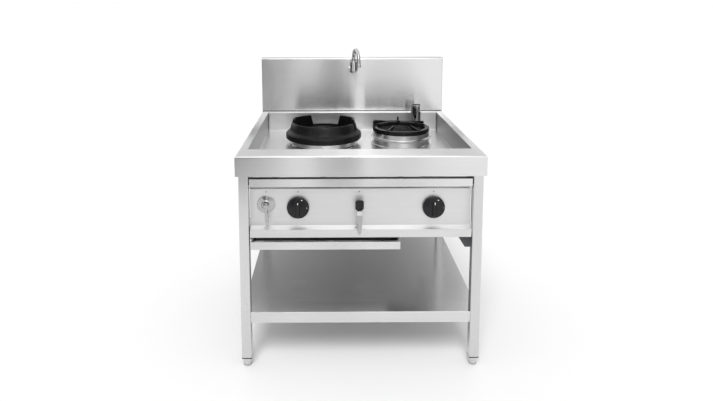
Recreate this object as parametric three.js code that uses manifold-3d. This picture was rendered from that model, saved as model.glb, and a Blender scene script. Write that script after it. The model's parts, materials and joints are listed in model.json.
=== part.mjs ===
// Free-standing gas wok range: a stainless frame on four legs carries a wet basin top with one wok
// burner and one pot burner, a splash-back with a swivel tap, a control panel, a drip tray and a shelf.
// Millimetres. +X is the cook's right, +Y points to the wall behind, +Z up; the floor is at Z = 0.

import * as THREE from 'three';
import { mergeVertices } from 'three/addons/utils/BufferGeometryUtils.js';
import Module from 'manifold-3d';

const wasm = await Module();
wasm.setup();

// ---------------------------------------------------------------- driving dimensions

const seam = 0.3; // clearance left between separate pieces that touch
const sheet = 2; // thickness of the folded stainless sheet

// top
const width = 1000;
const deckDepth = 950;
const splashDepth = 50;
const rimHeight = 900;
const splashHeight = 300;
const fasciaHeight = 85;
const rimBend = 10;
const basinDepth = 96;
const basinSideRim = 38;
const basinFrontRim = 106;
const basinBackRim = 50;
const basinCorner = 8;

// frame
const legSize = 40;
const legWall = 2;
const legCorner = 4;
const legInset = 10;
const rearLegSetback = 770; // from the front of the top to the front face of the rear legs
const railHeight = 33;
const railWidth = 30;
const railInset = 12; // front rail, panel lip, tray and shelf lip all lie this far behind the fascia
const shadowGap = 4; // open joint between the legs and the ends of the front rail and the panel
const railEndSeat = 6; // depth at the back of the front rail that still meets the legs

// feet
const plugFlange = 4;
const plugInsert = 30;
const footRadius = 16.5;
const footHeight = 36;
const studRadius = 5;
const studLength = 45;

// shelf
const shelfHeight = 240;
const shelfLip = 46;
const shelfSideLip = 25;
const shelfSideInset = 12;
const shelfRearMargin = 20; // shelf left standing behind the rear legs

// control panel; the drops are measured down from the rim of the top
const panelRecess = 40;
const panelTopDrop = 147;
const ledgeTopDrop = 300;
const ledgeSlope = 8;
const lipHeight = 33;
const panelFlange = 30;
const panelLugDepth = 10;
const panelLugMargin = 1; // from the top and the bottom of the panel's face to its end lugs
const indexDotDrop = 160;
const indexDotRadius = 2.5;

// drip tray
const trayTopDrop = 360;
const trayFrontHeight = 32;
const trayLegGap = 6;
const trayWidth = 604;
const trayLength = 520;
const trayFlange = 6; // how far the tray's side flanges stand out over its walls
const trayWallHeight = 24;
const trayHandle = 14;
const trayWall = 1.5;
const runnerGrip = 6; // how far a runner reaches in under the tray
const runnerTab = 30;
const runnerGap = 1; // running gap between the tray and the web of the right runner
const runnerStrapSetback = 400;
const runnerStart = 4; // runners start this far behind the panel's bottom flange

// wok burner, on the cook's left
const burnerBackInset = 293; // from the back wall of the basin to the middle of both burners
const wokSideInset = 307; // from the left wall of the basin
const wokFlangeOverhang = 24; // how far the ring's flange stands out past its collar
const wokRimInset = 7; // how far the ring's rim stands in from its collar
const wokRingHeight = 81;
const wokWall = 9;
const wokGapLeft = 64;
const wokGapRight = 81;
const wokGapDepth = 45;
const wokGapTaper = 8; // how much each side of the gap leans in at its bottom
const wokWingRise = 16; // the rear two thirds of the rim stand this much higher, at their front ends
const wokWingLean = 4;
const wokWingFront = -36;
const wokWingTurn = -3.7; // degrees
const wokWingSlope = -5; // degrees, down to the rear
const wokGapReach = 60; // the rear gap cuts everything further back than this from the middle
const wokNotchWidth = 12;
const wokNotchDepth = 38;
const wokNotchAngle = -19;

// pot burner, on the cook's right
const potSideInset = 232; // from the right wall of the basin
const potRingOverhang = 2; // how far the ring stands out past its collar
const potRingWidth = 24;
const potRingHeight = 20;
const potArmHeight = 34;
const potArmReach = 72;
const potArmWidth = 9;
const potArmCount = 5;
const potGuardThickness = 8;
const potGuardBase = 2;
const potGuardHeights = [[26, 33], [50, 25], [75, 21], [117, 23], [166, 45], [176, 45]]; // [degrees, height]
const potGuardStep = 8; // degrees
const potLugDepth = 9;
const potLugHeight = 43;

// burner wells
const collarWall = 3;
const collarFoot = 8;
const wokCollarRadius = 163;
const wokCollarHeight = 28;
const potCollarRadius = 138;
const potCollarHeight = 63;
const potDripLip = 9;
const potDripLipHeight = 36;
const wellDepth = 110;
const wellWall = 3;
const wellGap = 10;
const wellMouth = 66;
const headRadius = 55;
const headHeight = 26;
const nozzleRadius = 6;
const nozzleHeight = 16;
const jetCount = 8;
const headSpigot = 12; // how far a burner head reaches down through the floor of its well
const feedDrop = 60;
const pipeRadius = 11;
const elbowSwell = 1.25; // how much wider an elbow fitting is than its pipe
const feedRise = 120; // how far behind its valve a feed pipe turns up
const pilotRadius = 4;
const pilotBelowRim = 30;
const wellSeatWidth = 8; // how far a burner head's flange lies on the floor of its well
const headFlange = 4;
const standpipeSpigot = 16; // how far the standpipe reaches down into the drain

// controls; the insets are measured from the inner faces of the legs
const waterValveInset = 68;
const waterValveDrop = 211.3;
const leftKnobInset = 197;
const rightKnobInset = 154;
const knobDrop = 223.5;
const leverX = -5;
const leverDrop = 208;
const escutcheonRadius = 37;
const escutcheonDepth = 12;
const spindleRadius = 7;
const waterLeverLength = 74;
const waterLeverWidth = 13;
const waterLeverTilt = 4;
const waterLeverThickness = 8;
const waterLeverHubWall = 5;
const knobRadius = 45;
const knobDepth = 21;
const knobGap = 6;
const knobGripWidth = 20;
const knobTravel = 3;
const stemRadius = 4;
const neckRadius = 9;
const hubWidth = 35;
const hubHeight = 41;
const hubCorner = 8;
const leverCollarWidth = 23;
const leverCollarHeight = 19;
const leverLength = 118;
const leverRootWidth = 22;
const leverTipWidth = 14;
const leverThickness = 7;
const leverFrontGap = 2;
const gasBody = 36;
const gasBodyDepth = 56;
const manifoldRadius = 13;
const manifoldDrop = 62;
const manifoldEndMargin = 18;
const inletRun = 60;
const inletDrop = 80;
const inletBackInset = 40;

// water
const tapX = 6;
const tapBelowTop = 64; // from the top edge of the splash-back down to the tap's shank
const tapStandOff = 45;
const tapBodyRadius = 18;
const tapBodyHeight = 58;
const tapFlangeRadius = 24;
const tapTubeRadius = 10;
const tapReach = 116;
const spoutRise = 124; // from the shank up to the crown of the spout
const mouthRise = 27;
const tapSwing = 11;
const tapTail = 60;
const tapLeverRadius = 8;
const tapLeverRise = 14;
const tapLeverStub = 12;
const tapHandleRadius = 3.5;
const tapHandleLength = 34;
const tapHandleLean = 115; // degrees from upright, towards the cook
const spoutSocket = 20; // depth of the bore in the tap's body that the spout turns in
const spoutNozzleWall = 2;
const spoutNozzleLength = 16;
const tapFlangeDepth = 7;
const supplyDrop = 86; // the supply pipe crosses this far below the tap
const drainSideInset = 124;
const drainBackInset = 70;
const standpipeRadius = 25.5;
const standpipeWall = 2;
const standpipeAboveRim = 57;
const drainFlangeRadius = 38;
const drainTailRadius = 21;
const drainTailLength = 120;

// fixings
const gussetReach = 59;
const gussetHeight = 60;
const gussetThickness = 3;
const screwRadius = 4;
const screwHead = 2;
const screwLength = 8;
const screwX = -20;

// ---------------------------------------------------------------- places that follow from them

const frontY = -(deckDepth + splashDepth) / 2;
const backY = -frontY;
const splashY = frontY + deckDepth;
const splashTop = rimHeight + splashHeight;
const fasciaBottom = rimHeight - fasciaHeight;
const basinFloor = rimHeight - basinDepth;
const basinUnder = basinFloor - sheet;
const basinFront = frontY + basinFrontRim;
const basinBack = splashY - basinBackRim;
const basinHalf = width / 2 - basinSideRim;
const burnerY = basinBack - burnerBackInset;
const wokX = wokSideInset - basinHalf;
const potX = basinHalf - potSideInset;
const wokFlangeRadius = wokCollarRadius + wokFlangeOverhang;
const wokRimRadius = wokCollarRadius - wokRimInset;
const potRingRadius = potCollarRadius + potRingOverhang;

const legX = width / 2 - legInset - legSize / 2;
const frontLegY = frontY + legInset + legSize / 2;
const rearLegY = frontY + rearLegSetback + legSize / 2;
const legBottom = footHeight + plugFlange + seam;
const innerHalf = legX - legSize / 2; // half the clear span between left and right legs
const railTop = basinUnder - seam;
const railBottom = railTop - railHeight;
const faceY = frontY + railInset;

const panelY = frontY + panelRecess;
const panelBack = panelY + sheet;
const panelTop = rimHeight - panelTopDrop;
const ledgeTop = rimHeight - ledgeTopDrop;
const lipTop = ledgeTop - ledgeSlope;
const lipBottom = lipTop - lipHeight;
const indexDotZ = rimHeight - indexDotDrop;
const waterValveX = waterValveInset - innerHalf;
const waterValveZ = rimHeight - waterValveDrop;
const leftKnobX = leftKnobInset - innerHalf;
const rightKnobX = innerHalf - rightKnobInset;
const knobZ = rimHeight - knobDrop;
const leverZ = rimHeight - leverDrop;
const trayTop = rimHeight - trayTopDrop;
const trayFrontBottom = trayTop - trayFrontHeight;
const trayLeft = trayLegGap - innerHalf;
const trayRight = trayLeft + trayWidth;
const runnerFront = faceY + panelFlange + runnerStart;
const strapY = frontY + runnerStrapSetback;
const drainX = basinHalf - drainSideInset;
const drainY = basinBack - drainBackInset;
const standpipeTop = rimHeight + standpipeAboveRim;
const tapY = splashY - tapStandOff;
const tapZ = splashTop - tapBelowTop;
const manifoldY = panelBack + seam + gasBodyDepth / 2;
const manifoldZ = knobZ - manifoldDrop;

// ---------------------------------------------------------------- finishes

function finish(color, roughness, metalness) {
  return new THREE.MeshStandardMaterial({ color, roughness, metalness });
}

const stainless = finish(0xc9cbcc, 0.34, 1);
const polished = finish(0xd8dadb, 0.18, 1);
const chrome = finish(0xe2e4e6, 0.08, 1);
const castIron = finish(0x1b1b1c, 0.55, 0.3);
const burnerIron = finish(0x3a3a3c, 0.6, 0.6);
const blackPlastic = finish(0x111113, 0.3, 0);
const brass = finish(0xb08d4a, 0.35, 1);
const pipeSteel = finish(0x8f9294, 0.45, 1);
const leverSteel = finish(0xa6a8aa, 0.38, 1);
const darkSteel = finish(0x3c3e40, 0.5, 0.8);

// ---------------------------------------------------------------- solids

function toSolid(geometry) {
  const bare = geometry.clone();
  bare.deleteAttribute('normal');
  bare.deleteAttribute('uv');
  const merged = mergeVertices(bare, 1e-4);
  const vertProperties = new Float32Array(merged.attributes.position.array);
  const triVerts = new Uint32Array(merged.index.array);
  return new wasm.Manifold(new wasm.Mesh({ numProp: 3, vertProperties, triVerts }));
}

function toGeometry(solid) {
  const { vertProperties, triVerts } = solid.getMesh();
  const geometry = new THREE.BufferGeometry();
  geometry.setAttribute('position', new THREE.BufferAttribute(vertProperties, 3));
  geometry.setIndex(new THREE.BufferAttribute(triVerts, 1));
  geometry.computeVertexNormals();
  return geometry;
}

function shifted(solid, x, y, z) {
  return toSolid(toGeometry(solid).translate(x, y, z));
}

// A solid turned about one of the axes through the origin; the angle is in degrees.
function swung(solid, axis, degrees) {
  const direction = new THREE.Vector3(...{ x: [1, 0, 0], y: [0, 1, 0], z: [0, 0, 1] }[axis]);
  const turn = new THREE.Matrix4().makeRotationAxis(direction, THREE.MathUtils.degToRad(degrees));
  return toSolid(toGeometry(solid).applyMatrix4(turn));
}

// A box between two corners.
function block(x0, x1, y0, y1, z0, z1) {
  const box = new THREE.BoxGeometry(x1 - x0, y1 - y0, z1 - z0);
  return toSolid(box.translate((x0 + x1) / 2, (y0 + y1) / 2, (z0 + z1) / 2));
}

// An upright cylinder from z0 to z1.
function post(radius, z0, z1, sides = 32) {
  const cylinder = new THREE.CylinderGeometry(radius, radius, z1 - z0, sides).rotateX(Math.PI / 2);
  return toSolid(cylinder.translate(0, 0, (z0 + z1) / 2));
}

// A cylinder that lies along Y, from y0 to y1.
function rod(radius, y0, y1, sides = 24) {
  const cylinder = new THREE.CylinderGeometry(radius, radius, y1 - y0, sides);
  return toSolid(cylinder.translate(0, (y0 + y1) / 2, 0));
}

// A ring or turned body about Z. The profile is [radius, z] pairs that run up the outside.
function turned(profile, sides) {
  const points = profile.map(([radius, z]) => new THREE.Vector2(radius, z));
  const closed = points[0].x > 0 ? [...points, points[0].clone()] : points;
  return toSolid(new THREE.LatheGeometry(closed, sides).rotateX(Math.PI / 2));
}

// A wall curved about Z that stands on one level. Each station is [degrees, height]; more stations are
// put between them, so that neighbours are a step apart at the most.
function curvedWall(outer, thickness, base, stations, step) {
  const all = [];
  stations.slice(1).forEach(([to, high], i) => {
    const [from, low] = stations[i];
    const count = Math.ceil((to - from) / step);
    for (let k = 0; k < count; k += 1) {
      all.push([from + ((to - from) * k) / count, low + ((high - low) * k) / count]);
    }
  });
  all.push(stations[stations.length - 1]);

  const inner = outer - thickness;
  const corners = 4;
  const places = all.flatMap(([degrees, height]) => {
    const a = THREE.MathUtils.degToRad(degrees);
    const section = [[outer, base], [outer, height], [inner, height], [inner, base]];
    return section.flatMap(([r, z]) => [r * Math.cos(a), r * Math.sin(a), z]);
  });
  const faces = [];
  for (let i = 0; i + 1 < all.length; i += 1) {
    for (let k = 0; k < corners; k += 1) {
      const a = i * corners + k;
      const b = i * corners + ((k + 1) % corners);
      faces.push(a, a + corners, b + corners, a, b + corners, b);
    }
  }
  const last = (all.length - 1) * corners;
  faces.push(0, 1, 2, 0, 2, 3, last, last + 2, last + 1, last, last + 3, last + 2);
  const geometry = new THREE.BufferGeometry();
  geometry.setAttribute('position', new THREE.Float32BufferAttribute(places, 3));
  geometry.setIndex(faces);
  return toSolid(geometry);
}

function roundedRectangle(shape, w, h, r) {
  shape.moveTo(-w / 2 + r, -h / 2);
  shape.lineTo(w / 2 - r, -h / 2);
  shape.absarc(w / 2 - r, -h / 2 + r, r, -Math.PI / 2, 0, false);
  shape.lineTo(w / 2, h / 2 - r);
  shape.absarc(w / 2 - r, h / 2 - r, r, 0, Math.PI / 2, false);
  shape.lineTo(-w / 2 + r, h / 2);
  shape.absarc(-w / 2 + r, h / 2 - r, r, Math.PI / 2, Math.PI, false);
  shape.lineTo(-w / 2, -h / 2 + r);
  shape.absarc(-w / 2 + r, -h / 2 + r, r, Math.PI, 1.5 * Math.PI, false);
  return shape;
}

function extruded(shape, length, curveSegments = 3) {
  return new THREE.ExtrudeGeometry(shape, { depth: length, bevelEnabled: false, curveSegments });
}

// A prism whose outline lies in the YZ plane, run along X from x0 to x1.
function alongX(outline, x0, x1) {
  const shape = new THREE.Shape(outline.map(([y, z]) => new THREE.Vector2(y, z)));
  const geometry = extruded(shape, x1 - x0);
  const turn = new THREE.Matrix4().makeBasis(
    new THREE.Vector3(0, 1, 0),
    new THREE.Vector3(0, 0, 1),
    new THREE.Vector3(1, 0, 0),
  );
  return toSolid(geometry.applyMatrix4(turn).translate(x0, 0, 0));
}

// A prism whose outline lies in the XZ plane, run along Y from y0 to y1.
function alongY(outline, y0, y1) {
  const shape = new THREE.Shape(outline.map(([x, z]) => new THREE.Vector2(x, z)));
  return toSolid(extruded(shape, y1 - y0).rotateX(Math.PI / 2).translate(0, y1, 0));
}

// The outline of a strip of sheet that is folded along a line of points; the metal lies to its left.
function foldedStrip(line, thickness) {
  const offset = line.map((point, i) => {
    const before = line[Math.max(i - 1, 0)];
    const after = line[Math.min(i + 1, line.length - 1)];
    const headings = [];
    if (i > 0) headings.push(Math.atan2(point[1] - before[1], point[0] - before[0]));
    if (i < line.length - 1) headings.push(Math.atan2(after[1] - point[1], after[0] - point[0]));
    const first = headings[0];
    const last = headings[headings.length - 1];
    const halfTurn = Math.atan2(Math.sin(last - first), Math.cos(last - first)) / 2;
    const normal = first + halfTurn + Math.PI / 2;
    const reach = thickness / Math.cos(halfTurn);
    return [point[0] + reach * Math.cos(normal), point[1] + reach * Math.sin(normal)];
  });
  return [...line, ...offset.reverse()];
}

// A pipe of straight runs joined by elbow fittings; every point is [x, y, z].
function pipe(points, radius, sides = 8) {
  const corners = points.map((point) => new THREE.Vector3(...point));
  const up = new THREE.Vector3(0, 1, 0);
  const runs = corners.slice(1).map((end, i) => {
    const start = corners[i];
    const along = end.clone().sub(start);
    const cylinder = new THREE.CylinderGeometry(radius, radius, along.length(), sides);
    cylinder.applyQuaternion(new THREE.Quaternion().setFromUnitVectors(up, along.normalize()));
    const middle = start.clone().add(end).multiplyScalar(0.5);
    return toSolid(cylinder.translate(middle.x, middle.y, middle.z));
  });
  const elbows = corners.slice(1, -1).map((corner) => {
    const ball = new THREE.SphereGeometry(radius * elbowSwell, sides, sides / 2);
    return toSolid(ball.translate(corner.x, corner.y, corner.z));
  });
  return [...runs, ...elbows].reduce((whole, piece) => whole.add(piece));
}

const range = new THREE.Group();

function addTo(group, name, solid, material, place = [0, 0, 0]) {
  const condensed = toSolid(toGeometry(solid)); // a fresh solid loses the slivers that cuts leave behind
  const mesh = new THREE.Mesh(toGeometry(condensed), material);
  mesh.name = name;
  mesh.position.set(...place);
  group.add(mesh);
  return mesh;
}

function add(name, solid, material, place) {
  return addTo(range, name, solid, material, place);
}

// ---------------------------------------------------------------- top, basin and splash-back

// The outer skin of the top: rounded along the front and the two sides, square against the splash-back.
function topSkin(inset, height0) {
  const half = width / 2 - inset;
  const top = rimHeight - inset;
  const r = rimBend - inset;
  const front = frontY + inset;
  const rear = splashY - inset;
  const steps = [0, 30, 60, 90].map(THREE.MathUtils.degToRad);
  const across = [
    [half, height0],
    ...steps.map((a) => [half - r + r * Math.cos(a), top - r + r * Math.sin(a)]),
    ...steps.map((a) => [-half + r - r * Math.sin(a), top - r + r * Math.cos(a)]),
    [-half, height0],
  ];
  const along = [
    [rear, height0],
    [rear, top],
    ...steps.map((a) => [front + r - r * Math.sin(a), top - r + r * Math.cos(a)]),
    [front, height0],
  ];
  return alongY(across, front, rear).intersect(alongX(along, -half, half));
}

function basinBlock(grow, z0, z1) {
  const w = 2 * (basinHalf + grow);
  const d = basinBack - basinFront + 2 * grow;
  const shape = roundedRectangle(new THREE.Shape(), w, d, basinCorner + grow);
  return toSolid(extruded(shape, z1 - z0).translate(0, (basinFront + basinBack) / 2, z0));
}

function addTop() {
  const hollow = topSkin(sheet, fasciaBottom - 1);
  const opening = basinBlock(sheet + seam, fasciaBottom, rimHeight + 1);
  add('cooktop_rim', topSkin(0, fasciaBottom).subtract(hollow).subtract(opening), stainless);

  const cuts = [
    shifted(post(wokCollarRadius - collarWall - seam, 0, rimHeight, 36), wokX, burnerY, 0),
    shifted(post(potCollarRadius - collarWall - seam, 0, rimHeight, 36), potX, burnerY, 0),
    shifted(post(drainTailRadius + seam, 0, rimHeight, 20), drainX, drainY, 0),
  ];
  let basin = basinBlock(sheet, basinUnder, rimHeight).subtract(basinBlock(0, basinFloor, rimHeight + 1));
  for (const cut of cuts) basin = basin.subtract(cut);
  add('cooktop_basin', basin, polished);
}

function addSplashBack() {
  const half = width / 2;
  const front = splashY + seam;
  const shell = block(-half, half, front, backY, fasciaBottom, splashTop);
  const inner = half - sheet;
  const inside = block(-inner, inner, front + sheet, backY + 1, fasciaBottom - 1, splashTop - sheet);
  const tapHole = shifted(rod(tapTubeRadius + seam, front - 1, front + sheet + 1), tapX, 0, tapZ);
  add('splash_back', shell.subtract(inside).subtract(tapHole), stainless);

  const cover = block(
    -inner + seam,
    inner - seam,
    backY - sheet,
    backY,
    fasciaBottom,
    splashTop - sheet - seam,
  );
  add('splash_rear_cover', cover, stainless);
}

// ---------------------------------------------------------------- frame, legs and feet

// A square tube of section w x h that runs for a length along its own Z.
function tubeAlongZ(w, h, length) {
  const shape = roundedRectangle(new THREE.Shape(), w, h, legCorner);
  const bore = roundedRectangle(new THREE.Path(), w - 2 * legWall, h - 2 * legWall, legCorner - legWall);
  shape.holes.push(bore);
  return toSolid(extruded(shape, length, 2));
}

function addLeg(name, side, y, top) {
  add(`${name}_leg`, tubeAlongZ(legSize, legSize, top - legBottom), stainless, [side * legX, y, legBottom]);

  const insertHalf = legSize / 2 - legWall - seam;
  const insertTop = footHeight + plugFlange + plugInsert;
  const half = legSize / 2;
  const flange = block(-half, half, -half, half, footHeight, footHeight + plugFlange);
  const corner = legCorner - legWall;
  const insertShape = roundedRectangle(new THREE.Shape(), 2 * insertHalf, 2 * insertHalf, corner);
  const insert = toSolid(extruded(insertShape, insertTop - footHeight, 2).translate(0, 0, footHeight));
  const bore = post(studRadius + seam, 0, insertTop + 1, 24);
  add(`${name}_plug`, flange.add(insert).subtract(bore), blackPlastic, [side * legX, y, 0]);

  const shoulder = footHeight - seam;
  const foot = turned(
    [
      [0, 0],
      [footRadius - 3, 0],
      [footRadius, 3],
      [footRadius, shoulder - 2],
      [footRadius - 2, shoulder],
      [studRadius, shoulder],
      [studRadius, shoulder + studLength],
      [0, shoulder + studLength],
    ],
    18,
  );
  add(`${name}_foot`, foot, chrome, [side * legX, y, 0]);
}

function addFrame() {
  const frontTop = rimHeight - sheet - seam;
  const rearTop = railBottom - seam;
  addLeg('front_left', -1, frontLegY, frontTop);
  addLeg('front_right', 1, frontLegY, frontTop);
  addLeg('rear_left', -1, rearLegY, rearTop);
  addLeg('rear_right', 1, rearLegY, rearTop);

  const span = 2 * (innerHalf - seam);
  const across = shifted(swung(tubeAlongZ(railHeight, railWidth, span), 'y', 90), -span / 2, 0, 0);
  const railZ = (railTop + railBottom) / 2;
  let frontRail = across;
  for (const [x0, x1] of [[-span / 2 - 1, shadowGap - innerHalf], [innerHalf - shadowGap, span / 2 + 1]]) {
    const seat = railWidth / 2 - railEndSeat;
    frontRail = frontRail.subtract(block(x0, x1, -railWidth, seat, -railHeight, railHeight));
  }
  add('front_top_rail', frontRail, stainless, [0, faceY + railWidth / 2, railZ]);
  add('rear_cross_rail', across, stainless, [0, rearLegY, railZ]);

  // The side rails run back over the rear legs to the splash-back and carry its overhang.
  const railStart = frontLegY + legSize / 2 + seam;
  const railLength = splashY - sheet - seam - railStart;
  const back = swung(tubeAlongZ(legSize, railHeight, railLength), 'x', -90);
  add('left_side_rail', back, stainless, [-legX, railStart, railZ]);
  add('right_side_rail', back, stainless, [legX, railStart, railZ]);
}

// ---------------------------------------------------------------- shelf

function addShelf() {
  const half = width / 2 - shelfSideInset;
  const rear = rearLegY + legSize / 2 + shelfRearMargin;
  const bottom = shelfHeight - shelfLip;
  const lipBack = faceY + sheet;
  const under = block(-half + sheet, half - sheet, lipBack, rear - sheet, bottom - 1, shelfHeight - sheet);
  const trim = block(-half - 1, half + 1, lipBack, rear + 1, bottom - 1, shelfHeight - shelfSideLip);
  let shelf = block(-half, half, faceY, rear, bottom, shelfHeight).subtract(under).subtract(trim);
  const legClearance = legSize / 2 + seam;
  const notches = [
    [faceY - 1, frontLegY + legClearance],
    [rearLegY - legClearance, rearLegY + legClearance],
  ];
  for (const [y0, y1] of notches) {
    for (const [x0, x1] of [[-half - 1, -innerHalf + seam], [innerHalf - seam, half + 1]]) {
      shelf = shelf.subtract(block(x0, x1, y0, y1, bottom - 1, shelfHeight + 1));
    }
  }
  add('lower_shelf', shelf, stainless);
}

// ---------------------------------------------------------------- control panel

function addControlPanel() {
  const half = innerHalf - shadowGap;
  const line = [
    [panelY + panelFlange, panelTop],
    [panelY, panelTop],
    [panelY, ledgeTop],
    [faceY, lipTop],
    [faceY, lipBottom],
    [faceY + panelFlange, lipBottom],
  ];
  let panel = alongX(foldedStrip(line, sheet), -half, half);

  // An end flange with a lug behind it stands against each leg and closes the shadow gap. The left one
  // ends above the tab of the tray runner.
  const flangeBack = panelY + panelFlange;
  const lugFront = flangeBack - panelLugDepth;
  const lugTop = panelTop - panelLugMargin;
  const reach = innerHalf - seam;
  const leftBottom = ledgeTop + runnerTab + panelLugMargin;
  const rightBottom = ledgeTop + panelLugMargin;
  panel = panel.add(block(-half, -half + sheet, panelY + sheet / 2, flangeBack, leftBottom, lugTop));
  panel = panel.add(block(-reach, -half + sheet, lugFront, flangeBack, leftBottom, lugTop));
  panel = panel.add(block(half - sheet, half, panelY + sheet / 2, flangeBack, rightBottom, lugTop));
  panel = panel.add(block(half - sheet, reach, lugFront, flangeBack, rightBottom, lugTop));
  const holes = [
    [waterValveX, waterValveZ, spindleRadius + 2 * seam],
    [leftKnobX, knobZ, neckRadius + seam],
    [rightKnobX, knobZ, neckRadius + seam],
    [leverX, leverZ, spindleRadius + 2 * seam],
    ...[waterValveX, leftKnobX, leverX, rightKnobX].map((x) => [x, indexDotZ, indexDotRadius]),
  ];
  for (const [x, z, radius] of holes) {
    const sides = radius > indexDotRadius ? 16 : 8;
    panel = panel.subtract(shifted(rod(radius, panelY - 1, panelBack + 1, sides), x, 0, z));
  }
  const screwZ = (ledgeTop + lipTop) / 2;
  const screwY = (panelY + faceY) / 2;
  const screwHole = post(screwRadius / 2 + seam, screwZ - screwLength, screwZ + screwLength, 12);
  add('control_panel', panel.subtract(shifted(screwHole, screwX, screwY, 0)), stainless);

  const slope = Math.atan2(ledgeSlope, panelY - faceY);
  const headSeat = sheet / 2 + seam;
  const head = post(screwRadius, headSeat, headSeat + screwHead, 16);
  const screw = head.add(post(screwRadius / 2, -screwLength, headSeat + 1, 12));
  const tilted = swung(screw, 'x', THREE.MathUtils.radToDeg(slope));
  add('ledge_screw', tilted, chrome, [screwX, screwY, screwZ - sheet / 2 / Math.cos(slope)]);
}

// The closed casting of a valve, behind the panel.
function valveCasting() {
  const front = panelBack + seam;
  return block(-gasBody / 2, gasBody / 2, front, front + gasBodyDepth, -gasBody / 2, gasBody / 2);
}

// A quarter-turn water valve: brass body behind the panel, chrome cover and a hanging lever in front.
function addWaterValve() {
  const bodyFront = panelBack + seam;
  const spindleTip = panelY - escutcheonDepth - 2;
  const spindle = rod(spindleRadius, spindleTip, bodyFront + 1, 24);
  add('water_valve_body', valveCasting().add(spindle), brass, [waterValveX, 0, waterValveZ]);

  const back = -seam;
  const cover = turned(
    [
      [spindleRadius + seam, back],
      [escutcheonRadius, back],
      [escutcheonRadius, back + 2],
      [escutcheonRadius * 0.8, back + escutcheonDepth * 0.6],
      [spindleRadius + 8, back + escutcheonDepth - 2 * seam],
      [spindleRadius + seam, back + escutcheonDepth - 2 * seam],
    ],
    28,
  );
  add('water_valve_cover', turnedToFront(cover), chrome, [waterValveX, panelY - 2 * seam, waterValveZ]);

  const hubBack = panelY - escutcheonDepth - seam - 1;
  const hubFront = hubBack - waterLeverThickness - 4;
  const hub = rod(spindleRadius + waterLeverHubWall, hubFront, hubBack, 24);
  const blade = alongY(
    [
      [-waterLeverWidth / 2, 0],
      [-waterLeverWidth * 0.4, -waterLeverLength],
      [waterLeverWidth * 0.4, -waterLeverLength],
      [waterLeverWidth / 2, 0],
    ],
    hubFront + 1,
    hubFront + 1 + waterLeverThickness,
  );
  const bore = rod(spindleRadius + seam, spindleTip - seam, hubBack + 1, 24);
  const lever = hub.add(swung(blade, 'y', -waterLeverTilt)).subtract(bore);
  add('water_valve_lever', lever, chrome, [waterValveX, 0, waterValveZ]);
}

// Turns a body made about Z so that its top faces the cook.
function turnedToFront(solid) {
  return swung(solid, 'x', 90);
}

// A gas tap: the valve body hangs behind the panel, its stem pushes in and turns with the knob.
function addGasTap(name, x) {
  const bodyFront = panelBack + seam;
  const neckFront = panelY - 2;
  const stemFront = panelY - knobGap - knobDepth / 2;
  const stemBack = bodyFront + gasBodyDepth / 2;
  const neck = rod(neckRadius, neckFront, bodyFront + 1, 24);
  const bore = rod(stemRadius + seam, neckFront - 1, stemBack + knobTravel + 1, 20);
  add(`${name}_gas_valve`, valveCasting().add(neck).subtract(bore), brass, [x, 0, knobZ]);
  add(`${name}_valve_stem`, rod(stemRadius, stemFront, stemBack, 20), pipeSteel, [x, 0, knobZ]);

  const dome = turned(
    [
      [0, 0],
      [knobRadius, 0],
      [knobRadius, knobDepth * 0.28],
      [knobRadius * 0.95, knobDepth * 0.42],
      [knobRadius * 0.7, knobDepth * 0.56],
      [0, knobDepth * 0.62],
    ],
    32,
  );
  const gripHalf = knobGripWidth / 2;
  const grip = block(-gripHalf, gripHalf, -knobRadius * 0.88, knobRadius * 0.62, 1, knobDepth);
  const socket = post(stemRadius + seam, -1, knobDepth / 2 + seam, 20);
  const knob = turnedToFront(dome.add(grip).subtract(socket));
  add(`${name}_knob`, knob, blackPlastic, [x, panelY - knobGap, knobZ]);
}

// The quick lever valve in the middle: a black hub and a long flat lever that hangs in front of the lip.
function addLeverValve() {
  const bodyFront = panelBack + seam;
  const leverFront = frontY + leverFrontGap;
  const hubFront = leverFront + leverThickness + 4;
  const hubBack = panelY - seam - 1;
  const spindleTip = hubFront + 6;
  const spindle = rod(spindleRadius, spindleTip, bodyFront + 1, 24);
  add('lever_valve_body', valveCasting().add(spindle), brass, [leverX, 0, leverZ]);

  const shape = roundedRectangle(new THREE.Shape(), hubWidth, hubHeight, hubCorner);
  const prism = toSolid(extruded(shape, hubBack - hubFront).rotateX(Math.PI / 2).translate(0, hubBack, 0));
  const bore = rod(spindleRadius + seam, spindleTip - seam, hubBack + 1, 24);
  add('lever_hub', prism.subtract(bore), blackPlastic, [leverX, 0, leverZ]);

  const top = -hubHeight / 2 - seam;
  const collarBottom = top - leverCollarHeight;
  const collar = block(
    -leverCollarWidth / 2,
    leverCollarWidth / 2,
    leverFront,
    hubFront + leverThickness,
    collarBottom,
    top,
  );
  const blade = alongY(
    [
      [-leverRootWidth / 2, collarBottom + 2],
      [-leverTipWidth / 2, -leverLength + leverTipWidth / 2],
      [-leverTipWidth / 4, -leverLength],
      [leverTipWidth / 4, -leverLength],
      [leverTipWidth / 2, -leverLength + leverTipWidth / 2],
      [leverRootWidth / 2, collarBottom + 2],
    ],
    leverFront,
    leverFront + leverThickness,
  );
  add('gas_lever', collar.add(blade), leverSteel, [leverX, 0, leverZ]);
}

// ---------------------------------------------------------------- gas pipes

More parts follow.
